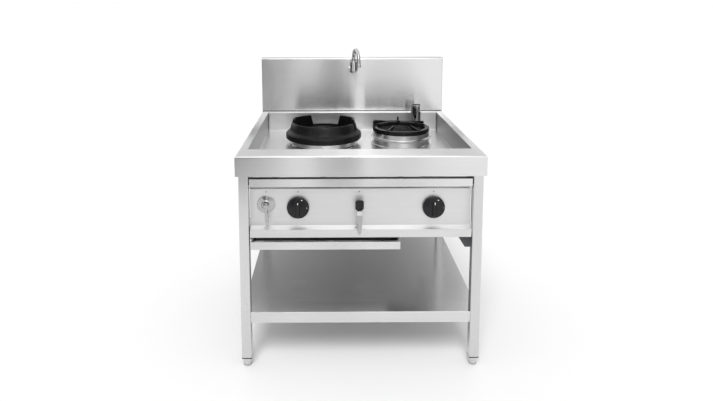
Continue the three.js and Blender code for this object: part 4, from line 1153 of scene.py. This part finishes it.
def make_pot_ring():
    low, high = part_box("pot_ring")
    outer = POT_RING
    inner = outer - POT_RING_WIDTH
    h = POT_RING_HEIGHT
    half = POT_ARM_WIDTH / 2
    tip = outer - POT_ARM_REACH
    profile = steps_from(inner, 0, (0, 1), (1, 0)) + steps_from(outer, 0, (-3, 0), (-0.8, 1), (0, 3.4))
    profile += steps_from(outer, h, (0, -4), (-1, -1.2), (-3.6, 0))
    profile += steps_from(inner, h, (7, 0), (3, -1.6), (0, -6))
    ring = turned("ring", profile, 128)
    outline = steps_from(outer, 0, (-5, 5)) + steps_from(outer, h, (-5, 1), (-14, 4))
    outline += steps_from(tip, POT_ARM_HEIGHT, (26, -5), (9, 0), (0, 0), (0, -9), (14, -17))
    outline += steps_from(inner, 0, (1, 5))
    arms = []
    for i in range(POT_ARMS):
        arm = slab("arm", [(x, -half, z) for x, z in outline], (0, POT_ARM_WIDTH, 0))
        rounded(arm, 1.8 * MM, 3, 20)
        arms.append(moved(arm, turn=(0, 0, math.radians(90 + 360 / POT_ARMS * i))))
    lug_foot = outer - POT_GUARD_THICKNESS - 1 * MM
    lug_low = (lug_foot - POT_LUG_DEPTH, -half, 4 * MM)
    lug = box("lug", lug_low, (lug_foot + 1 * MM, half, POT_LUG_HEIGHT))
    rounded(lug, 1.8 * MM, 3)
    moved(lug, turn=(0, 0, math.pi / 2))
    combined(ring, [guard_piece(outer - 1 * MM, high.z - low.z), *arms, lug], "UNION")
    middle = base_of("pot_burner_collar")
    moved(ring, (middle.x, middle.y, low.z))
    stands_for(ring, "pot_ring", ring_iron, 32)


def guard_height(angle):
    """The guard's height at an angle, on straight lines between the stations."""
    for (start, low), (end, high) in zip(POT_GUARD_HEIGHTS, POT_GUARD_HEIGHTS[1:]):
        if angle <= end:
            break
    return (low + (high - low) * (angle - start) / (end - start)) * MM


def guard_piece(radius, height):
    """The guard: an upright strip spun over the rear of the ring, with its top edge lowered to its line."""
    first, last = POT_GUARD_HEIGHTS[0][0], POT_GUARD_HEIGHTS[-1][0]
    steps = round((last - first) / POT_GUARD_STEP)
    spread = math.radians(last - first)
    inner = radius - POT_GUARD_THICKNESS
    base = POT_GUARD_BASE
    section = [(inner, 0, base), (radius, 0, base), (radius, 0, height), (inner, 0, height)]
    guard = strip("guard", [*section, section[0]])
    with Editing(guard) as edit:
        edit.fill()
        bpy.ops.mesh.spin(steps=steps, angle=-spread, center=(0, 0, 0), axis=UP, dupli=False)
        edit.close_up()
        for i in range(steps + 1):
            angle = spread * i / steps
            outwards = Vector((math.cos(angle), math.sin(angle), 0))

            def is_top_here(middle, way):
                near = abs(middle.xy.angle_signed(outwards.xy)) < 0.01
                return near and middle.z > height - MM and abs(way.dot(outwards)) > 0.999

            edit.edges(is_top_here)
            drop = guard_height(first + math.degrees(angle)) - height
            bpy.ops.transform.translate(value=(0, 0, drop))
    rounded(guard, 2.2 * MM, 3, 40)
    return moved(guard, turn=(0, 0, math.radians(first)))


COLLAR_WALL = 3 * MM
COLLAR_FOOT = 8 * MM
DRIP_LIP = 9 * MM
DRIP_LIP_HEIGHT = 36 * MM


def make_collar(name, lipped):
    node = f"{name}_burner_collar"
    low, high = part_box(node)
    place = base_of(node)
    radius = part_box(f"{name}_burner_well")[1].x - place.x
    h = high.z - low.z
    inner = radius - COLLAR_WALL
    foot = radius + COLLAR_FOOT
    profile = [(inner, 0), *steps_from(foot, 0, (-0.5, 0), (0, 0.6), (-0.6, 2))]
    profile += steps_from(radius, 0, (3, 2.2), (0, 5))
    if lipped:
        profile += steps_from(radius, DRIP_LIP_HEIGHT, (0, -8), (3.5, -2.6))
        profile += steps_from(radius + DRIP_LIP, DRIP_LIP_HEIGHT, (-0.8, 0), (0, 1), (-0.8, 2))
        profile += steps_from(radius, DRIP_LIP_HEIGHT, (2, 3), (0, 5))
    profile += steps_from(radius, h, (0, -1), (-1, 0)) + steps_from(inner, h, (0.8, 0), (0, -0.8))
    stands_for(moved(turned("collar", profile, 128), place), node, collar_steel, 30)


WELL_MOUTH = 66 * MM
WELL_WALL = 3 * MM
WELL_FLANGE = 13 * MM
HEAD_FLANGE = 8 * MM
HEAD_RADIUS = 55 * MM
HEAD_SPIGOT = 12 * MM
HEAD_HEIGHT = 26 * MM
NOZZLE_RADIUS = 6 * MM
NOZZLE_BORE = 1.6 * MM
JETS = 8
PILOT_RADIUS = 4 * MM


def make_well(name):
    node = f"{name}_burner_well"
    low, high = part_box(node)
    radius = (high.x - low.x) / 2
    h = high.z - low.z
    wall = radius - WELL_FLANGE
    inner = wall - WELL_WALL
    profile = [(WELL_MOUTH, 0), *steps_from(wall, 0, (-5, 0), (-1.4, 1.6), (0, 5))]
    profile += [(wall, h - WELL_WALL), (radius, h - WELL_WALL), (radius, h), (inner, h)]
    profile += steps_from(inner, 0, (0, 6)) + steps_from(inner, WELL_WALL, (-3, 0))
    profile.append((WELL_MOUTH, WELL_WALL))
    well = turned("well", profile, 96, 0.5 * MM, 2)
    stands_for(moved(well, base_of(node)), node, burner_iron, 35)


def make_head(name):
    """The burner head: a cast drum with a flange, and jets with their bores around one in the middle."""
    node = f"{name}_burner_head"
    low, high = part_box(node)
    h = high.z - low.z
    top = HEAD_SPIGOT + HEAD_HEIGHT
    r = HEAD_RADIUS
    profile = [(0, 0), (r, 0), (r, HEAD_SPIGOT)]
    profile += steps_from(WELL_MOUTH + HEAD_FLANGE, HEAD_SPIGOT, (0, 0), (0, 4))
    profile += steps_from(r, HEAD_SPIGOT, (0, 8))
    profile += steps_from(r, top, (0, -2), (-2, 0), (-8, 0), (-10, -1.5)) + steps_from(0, top, (0, -1.5))
    head = turned("head", profile, 72, 0.8 * MM, 2)
    jet_low = top - 4 * MM
    jet_profile = [(0, jet_low), (NOZZLE_RADIUS, jet_low), *steps_from(NOZZLE_RADIUS, h, (0, -5))]
    jet_profile += steps_from(NOZZLE_RADIUS * 0.62, h, (0, -1))
    jet_profile += steps_from(NOZZLE_BORE, h, (0.6, 0), (0, -0.8), (0, -6)) + steps_from(0, h, (0, -6))
    jet = turned("jet", jet_profile, 20)
    reach = r - 2.2 * NOZZLE_RADIUS
    ring = []
    for i in range(JETS):
        angle = 2 * math.pi * i / JETS
        ring.append(copied(jet, "jet", (reach * math.cos(angle), reach * math.sin(angle), 0)))
    combined(head, [jet, *ring], "UNION")
    stands_for(moved(head, base_of(node)), node, burner_iron, 35)

    node = f"{name}_pilot"
    low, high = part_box(node)
    h = high.z - low.z
    pilot_profile = [(0, 0), (PILOT_RADIUS, 0), *steps_from(PILOT_RADIUS, h, (0, -12), (-1, -10), (-1, -2))]
    pilot_profile += steps_from(0, h, (1.6, 0), (1.2, -1), (0, -1))
    stands_for(moved(turned("pilot", pilot_profile, 24), base_of(node)), node, brass, 35)


def make_burners():
    make_wok_ring()
    make_pot_ring()
    make_collar("wok", False)
    make_collar("pot", True)
    for name in ("wok", "pot"):
        make_well(name)
        make_head(name)


# ---------------------------------------------------------------- gas and water pipes

PIPE = 11 * MM
FEED_DROP = 60 * MM
FEED_RUN = 120 * MM
MANIFOLD = 13 * MM
STUB = 9 * MM
CUFF = 11.5 * MM
CUFF_HALF = 3 * MM
SUPPLY_PIPE = 8 * MM
SUPPLY_RISE_Z = 1050 * MM
NUT_LENGTH = 14 * MM
CAP_LENGTH = 20 * MM
NUT_SHARE = 1.2  # radius of a nut in radii of its pipe
FEED_NUT_SHARE = 1.22
PIPE_MARGIN = 1.25  # from the axis of a pipe to the side of its box, in radii of the pipe


def union_nut(start, way, radius, length=NUT_LENGTH):
    """A six-sided nut at the end of a pipe."""
    start = Vector(start)
    return rounded(rod("nut", start, start + Vector(way) * length, radius, 6), 1 * MM, 2)


def piped(node, points, radius, bend, nuts):
    """A bent pipe with its nuts, shown in place of its node."""
    pipe = combined(bent_pipe(node, points, radius, bend), nuts, "UNION")
    stands_for(pipe, node, pipe_steel, 35)


def make_feed(name, valve_x, valve):
    head = base_of(f"{name}_burner_head")
    valve_low, valve_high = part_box(valve)
    valve_z = (valve_low.z + valve_high.z) / 2
    feed_top = head.z - SEAM
    feed_z = feed_top - FEED_DROP
    start_y = valve_high.y + SEAM
    turn_y = start_y + FEED_RUN
    points = [
        (head.x, head.y, feed_top),
        (head.x, head.y, feed_z),
        (valve_x, turn_y, feed_z),
        (valve_x, turn_y, valve_z),
        (valve_x, start_y, valve_z),
    ]
    nut = PIPE * FEED_NUT_SHARE
    nuts = [union_nut(points[-1], BACK, nut), union_nut(points[0], -UP, nut)]
    piped(f"{name}_feed_pipe", points, PIPE, 16 * MM, nuts)


def make_pipes():
    make_feed("wok", LEFT_KNOB[0], "left_gas_valve")
    make_feed("pot", RIGHT_KNOB[0], "right_gas_valve")

    low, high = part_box("gas_manifold")
    axis_y = (low.y + high.y) / 2
    axis_z = low.z + MANIFOLD
    cuff_low, cuff_high = axis_z + MANIFOLD - CUFF_HALF, axis_z + MANIFOLD + CUFF_HALF
    rail = rod("rail", (low.x, axis_y, axis_z), (high.x, axis_y, axis_z), MANIFOLD, 40)
    stubs = []
    fed = {"left_gas_valve": LEFT_KNOB, "lever_valve_body": LEVER, "right_gas_valve": RIGHT_KNOB}
    for valve, place in fed.items():
        x = place[0]
        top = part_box(valve)[0].z - SEAM
        stubs.append(rod("stub", (x, axis_y, axis_z), (x, axis_y, top), STUB, 32))
        stubs.append(rod("cuff", (x, axis_y, cuff_low), (x, axis_y, cuff_high), CUFF, 32))
    combined(rail, stubs, "UNION")
    rounded(rail, 0.8 * MM, 2, 40)
    stands_for(rail, "gas_manifold", pipe_steel, 35)

    low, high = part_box("gas_inlet_pipe")
    nut = MANIFOLD * NUT_SHARE
    inlet_x = high.x - MANIFOLD * PIPE_MARGIN
    inlet_y = high.y - MANIFOLD * PIPE_MARGIN
    points = [
        (low.x, axis_y, axis_z),
        (inlet_x, axis_y, axis_z),
        (inlet_x, inlet_y, axis_z),
        (inlet_x, inlet_y, low.z),
    ]
    nuts = [union_nut(points[0], (1, 0, 0), nut), union_nut(points[-1], UP, nut, CAP_LENGTH)]
    piped("gas_inlet_pipe", points, MANIFOLD, 20 * MM, nuts)

    low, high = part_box("tap_supply_pipe")
    back_y = high.y - SUPPLY_PIPE * PIPE_MARGIN
    valve_x, valve_z = WATER_VALVE
    points = [
        (valve_x, low.y, valve_z),
        (valve_x, back_y, valve_z),
        (valve_x, back_y, SUPPLY_RISE_Z),
        (TAP_X, back_y, SUPPLY_RISE_Z),
        (TAP_X, back_y, high.z),
    ]
    nuts = [union_nut(points[0], BACK, SUPPLY_PIPE * NUT_SHARE)]
    piped("tap_supply_pipe", points, SUPPLY_PIPE, 14 * MM, nuts)


# ---------------------------------------------------------------- drain, standpipe and tap

STANDPIPE = 25.5 * MM
STANDPIPE_WALL = 2 * MM
SPIGOT = 18.7 * MM
SPIGOT_HEIGHT = 16 * MM


def make_drain():
    low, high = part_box("drain_outlet")
    place = base_of("drain_outlet")
    h = high.z - low.z
    profile = [*steps_from(DRAIN_TAIL, 0, (-2, 0), (0, 0)), *steps_from(DRAIN_TAIL, h, (0, -2))]
    profile += steps_from((high.x - low.x) / 2, h, (0, -2), (0, -1.2), (-2, 0))
    profile += steps_from(DRAIN_TAIL, h, (1, 0), (-2, -1))
    outlet = turned("outlet", profile, 64, 0.4 * MM, 2)
    stands_for(moved(outlet, place), "drain_outlet", collar_steel, 35)

    low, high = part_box("standpipe")
    top = high.z - low.z
    r = STANDPIPE
    inner = r - STANDPIPE_WALL
    profile = [*steps_from(SPIGOT, 0, (-2, 0), (0, 0)), (SPIGOT, SPIGOT_HEIGHT)]
    profile += steps_from(r, SPIGOT_HEIGHT, (-0.6, 0), (0, 0.6))
    profile += steps_from(r, top, (0, -7), (1.2, -6), (1.5, -4.6), (1.5, -1.4), (0.6, -0.2), (-1.2, 0))
    profile += steps_from(inner, top, (0, -1)) + steps_from(inner, SPIGOT_HEIGHT, (0, 8))
    profile += steps_from(SPIGOT, SPIGOT_HEIGHT, (-2, 3))
    pipe = turned("standpipe", profile, 72)
    moved(pipe, (place.x, place.y, low.z))
    stands_for(pipe, "standpipe", chrome, 35)

    def looks_in(face):
        out = Vector((face.center.x - place.x, face.center.y - place.y, 0))
        return face.normal.dot(out) < 0 and face.center.z < high.z - 2 * MM

    # The inside of the pipe is painted near-black: painted shade.
    grained(pipe, (recess_painted_shade, looks_in))


TAP_BODY = 18 * MM
TAP_BODY_HEIGHT = 58 * MM
TAP_BORE = TAP_TUBE + SEAM
TAP_SOCKET = 20 * MM
TAP_STUB = 8 * MM
TAP_HANDLE_TILT = math.radians(115)
PIN_RADIUS = 4 * MM
TAP_Y = 405 * MM
TAP_REACH = 116 * MM
TAP_CROWN = 1260 * MM
TAP_MOUTH = 1163 * MM
TAP_SWING = math.radians(11)
TAP_LEVER_Z = 1150 * MM


def make_tap():
    low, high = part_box("tap_flange")
    r = (high.x - low.x) / 2
    depth = high.y - low.y
    profile = [(TAP_BORE, 0), *steps_from(r, 0, (0, 0), (0, 1.6), (-1.4, 3.2)), (r * 0.72, 5.2 * MM)]
    profile += [(r * 0.58, depth - 0.6 * MM), (r * 0.54, depth), (TAP_BORE, depth)]
    flange = turned("flange", profile, 64)
    moved(flange, (TAP_X, high.y, TAP_Z), FACING_COOK)
    stands_for(flange, "tap_flange", chrome, 40)

    low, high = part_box("tap_body")
    r = TAP_BODY
    h = TAP_BODY_HEIGHT
    profile = [(0, 0), (r * 0.55, 0), (r * 0.8, 1.2 * MM), (r * 0.95, 4 * MM), (r, 8 * MM)]
    profile += steps_from(r, h, (0, -18), (-1, -16.5), (-1, -15.5), (0, -14), (0, -5), (-2, -1), (-4, 0))
    profile += [(TAP_BORE, h), (TAP_BORE, h - TAP_SOCKET), (0, h - TAP_SOCKET)]
    body = turned("body", profile, 64)
    moved(body, (TAP_X, TAP_Y, low.z))
    shank = rod("shank", (TAP_X, TAP_Y + r * 0.6, TAP_Z), (TAP_X, high.y, TAP_Z), TAP_TUBE - 0.2 * MM, 40)
    bore_start = (TAP_X - r - MM, TAP_Y, TAP_LEVER_Z)
    bore_end = (TAP_X - 4 * MM, TAP_Y, TAP_LEVER_Z)
    combined(body, [shank], "UNION")
    combined(body, [rod("bore", bore_start, bore_end, PIN_RADIUS + SEAM, 32)])
    stands_for(body, "tap_body", chrome, 35)

    foot = low.z + TAP_BODY_HEIGHT - TAP_SOCKET + SEAM
    crown = TAP_CROWN - TAP_TUBE
    points = [(0, 0, foot), (0, 0, crown), (0, -TAP_REACH, crown), (0, -TAP_REACH, TAP_MOUTH)]
    spout = bent_pipe("spout", points, TAP_TUBE, TAP_REACH / 2 - 0.01 * MM, 36)
    mouth = [(-2, 3), (-1.6, -0.6), (1, -0.8), (2, 0.6), (2, 12), (1, 14.5), (-1, 16)]
    nozzle = turned("nozzle", [(0, 3 * MM), *steps_from(TAP_TUBE, 0, *mouth), (0, 16 * MM)], 48)
    combined(spout, [moved(nozzle, (0, -TAP_REACH, TAP_MOUTH))], "UNION")
    moved(spout, (TAP_X, TAP_Y, 0), (0, 0, TAP_SWING))
    stands_for(spout, "tap_spout", chrome, 35)
    make_tap_lever()


def make_tap_lever():
    stub_end = -TAP_BODY - SEAM
    profile = [(0, 0), *steps_from(TAP_STUB, 0, (-1, 0), (0, 1), (0, 9.5), (-2, 11.6)), (0, 12 * MM)]
    lever = turned("stub", profile, 40)
    moved(lever, (stub_end, 0, 0), (0, -math.pi / 2, 0))
    pin = rod("pin", (stub_end - 1 * MM, 0, 0), (-6 * MM, 0, 0), PIN_RADIUS, 32)
    steps = [(0, 0), (3, 0), (2.8, 20), (3.5, 28), (3.5, 31.5), (2.2, 33.6), (0, 34)]
    handle = turned("handle", steps_from(0, 0, *steps), 28)
    moved(handle, (stub_end - 5.8 * MM, 0, 0), (TAP_HANDLE_TILT, 0, 0))
    combined(lever, [pin, handle], "UNION")
    moved(lever, (TAP_X, TAP_Y, TAP_LEVER_Z))
    stands_for(lever, "tap_lever", chrome, 35)


# ---------------------------------------------------------------- drip tray

TRAY_FLANGE = 6 * MM
TRAY_WALL = 1.5 * MM
TRAY_DEPTH = 24 * MM
TRAY_GRIP = 14 * MM


def make_drip_tray():
    low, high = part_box("drip_tray")
    top = high.z
    half_wall = TRAY_WALL / 2
    tray = box("tray", (low.x, low.y, top - TRAY_WALL), high)
    face = box("face", low, (high.x, low.y + TRAY_WALL, top - half_wall))
    pan_low = Vector((low.x + TRAY_FLANGE, low.y + half_wall, top - TRAY_DEPTH))
    pan = box("pan", pan_low, (high.x - TRAY_FLANGE, high.y - half_wall, top - half_wall))
    inner_low = Vector((pan_low.x + TRAY_WALL, low.y + TRAY_WALL, pan_low.z + TRAY_WALL))
    inner_high = Vector((high.x - TRAY_FLANGE - TRAY_WALL, high.y - half_wall - TRAY_WALL, top - TRAY_WALL))
    inside = box("inside", inner_low, inner_high)
    with Editing(inside) as edit:
        edit.bevel(lambda middle, way: middle.z < inner_low.z + MM, 2 * MM, 3)
    mouth_low = (inner_low.x, low.y + TRAY_GRIP, top - 3 * TRAY_WALL)
    mouth = box("mouth", mouth_low, inner_high + UP * TRAY_FLANGE)
    combined(tray, [face, pan], "UNION")
    combined(tray, [inside, mouth])
    rounded(tray, SHEET_EDGE, 2, 40)
    stands_for(tray, "drip_tray", steel_front)

    def is_inside(face):
        place = face.center
        is_low = place.z < top - TRAY_WALL - half_wall
        return is_low and face.normal.z > -0.5 and place.y > low.y + half_wall

    # The tray's top gets the lighter tone, which is painted light, and its inside near-black, which is
    # painted shade.
    grained(tray, (top_steel_painted_light, looks_up), (recess_painted_shade, is_inside))
    for side in SIDES:
        shows_own_shape(f"{side}_tray_runner", steel_y)


# ---------------------------------------------------------------- studio


def card(name, low, high, stops, tone_at_top=1.0):
    """A studio card that only reflections see. Its tone runs from side to side through the stops."""
    finish = Finish(name, Base_Color=(0, 0, 0, 1), Specular_IOR_Level=0.0, Emission_Strength=1.0)
    place = finish.place()
    across = finish.node("ShaderNodeSeparateXYZ", {}, {"Vector": place}, "X")
    upwards = finish.node("ShaderNodeSeparateXYZ", {}, {"Vector": place}, "Z")
    spread = [((x - low[0]) / (high[0] - low[0]), level) for x, level in stops]
    tone = finish.ramp(finish.clear_of(across, low[0], high[0]), spread)
    fade = finish.clear_of(upwards, low[2], high[2], 1.0, tone_at_top)
    faded = finish.node("ShaderNodeVectorMath", {"operation": "SCALE"}, {0: tone, "Scale": fade})
    finish.feed("Emission Color", faded)
    piece = box(name, low, high)
    piece.data.materials.append(finish.material)
    piece.visible_camera = False
    piece.visible_diffuse = False
    piece.visible_shadow = False
    piece.visible_transmission = False


# The studio wall behind the camera, as (metres from the middle, tone) from the cook's left to the right.
WALL_TONES = [
    *((-1.4, 0.26), (-0.90, 0.26), (-0.70, 0.46), (-0.55, 0.66), (-0.42, 0.92), (-0.30, 0.90)),
    *((-0.16, 0.46), (-0.02, 0.32), (0.08, 0.48), (0.18, 0.90), (0.32, 0.74), (0.45, 0.72)),
    *((0.58, 0.86), (0.75, 1.05), (1.00, 1.15), (1.40, 1.15)),
]
# The dim room that the shelf mirrors, behind the range.
BACK_TONES = [(-0.9, 0.9), (-0.6, 0.66), (-0.35, 0.5), (0.0, 0.36), (0.3, 0.42), (0.55, 0.62), (0.9, 1.2)]
BACK_TONE_AT_TOP = 0.26
# The corners of the cards: the low left near one and the high right far one, in metres.
WALL_CARD = ((-1.4, -2.80, 0.0), (1.4, -2.78, 2.6))
ROOM_CARD = ((-0.9, 1.3, 0.2), (0.9, 1.32, 1.3))
HIGH_CARD = ((-1.3, -3.22, 3.0), (1.3, -3.2, 7.0))
SIDE_CARD_X = (-1.6, 1.58)
SIDE_CARD_THICKNESS = 0.02
SIDE_CARD_NEAR = (-1.2, 0.6)  # depth and height of the low near edge
SIDE_CARD_FAR = (0.6, 2.6)
FLOOR_SIZE = 400
FLOOR_TONE = 0.66
SKY_FADE_START = 0.25
SKY_AT_HORIZON = 1.0
SKY_OVERHEAD = 0.9
HIGH_CARD_TONE = 2.8
SIDE_CARD_TONE = 0.08
KEY_RISE = math.radians(50)
KEY_SIDE = math.radians(-8)
KEY_SPREAD = math.radians(26)
KEY_STRENGTH = 2.7
SHINE_PLACE = (0.35, -3.4, 3.0)
SHINE_AIM = (0, -0.2, 0.8)
SHINE_SIZE = (0.7, 0.5)
SHINE_WATTS = 16


def add_studio():
    bpy.ops.object.select_all(action="DESELECT")
    bpy.ops.mesh.primitive_plane_add(size=FLOOR_SIZE, location=(0, 0, 0))
    floor = settled("floor")
    pale = Finish("pale_floor", Base_Color=(*grey(FLOOR_TONE), 1), Roughness=1.0, Specular_IOR_Level=0.0)
    floor.data.materials.append(pale.material)

    world = bpy.data.worlds.new("studio")
    bpy.context.scene.world = world
    world.use_nodes = True
    background = world.node_tree.nodes["Background"]
    background.inputs["Color"].default_value = (*grey(1.0), 1)
    sky = Nodes(world.node_tree)
    towards = sky.node("ShaderNodeTexCoord", {}, {}, "Generated")
    height = sky.node("ShaderNodeSeparateXYZ", {}, {"Vector": towards}, "Z")
    strength = sky.clear_of(height, SKY_FADE_START, 1.0, SKY_AT_HORIZON, SKY_OVERHEAD)
    sky.join(strength, background.inputs["Strength"])

    card("studio_wall", *WALL_CARD, WALL_TONES)
    card("dim_room", *ROOM_CARD, BACK_TONES, BACK_TONE_AT_TOP)
    card("high_front", *HIGH_CARD, [(corner[0], HIGH_CARD_TONE) for corner in HIGH_CARD])
    for side, x in zip(SIDES, SIDE_CARD_X):
        far_x = x + SIDE_CARD_THICKNESS
        stops = [(x, SIDE_CARD_TONE), (far_x, SIDE_CARD_TONE)]
        card(f"{side}_side", (x, *SIDE_CARD_NEAR), (far_x, *SIDE_CARD_FAR), stops)

    # The key light shades matt surfaces; a dimmer soft box gives the highlights.
    key = bpy.data.lights.new("key", "SUN")
    key.angle = KEY_SPREAD
    key.energy = KEY_STRENGTH
    sun = bpy.data.objects.new("key", key)
    sun.rotation_euler = (math.pi / 2 - KEY_RISE, 0, KEY_SIDE)
    sun.visible_glossy = False
    bpy.context.scene.collection.objects.link(sun)

    shine = bpy.data.lights.new("shine", "AREA")
    shine.shape = "RECTANGLE"
    shine.size, shine.size_y = SHINE_SIZE
    shine.energy = SHINE_WATTS
    lamp = bpy.data.objects.new("shine", shine)
    lamp.location = SHINE_PLACE
    lamp.rotation_euler = (Vector(SHINE_AIM) - Vector(SHINE_PLACE)).to_track_quat("-Z", "Y").to_euler()
    lamp.visible_diffuse = False
    bpy.context.scene.collection.objects.link(lamp)


# ---------------------------------------------------------------- the whole range

add_camera()
make_top()
make_splash_back()
make_frame()
make_shelf()
make_panel()
make_controls()
make_burners()
make_pipes()
make_drain()
make_tap()
make_drip_tray()
add_studio()

bpy.context.scene.view_settings.view_transform = "Standard"
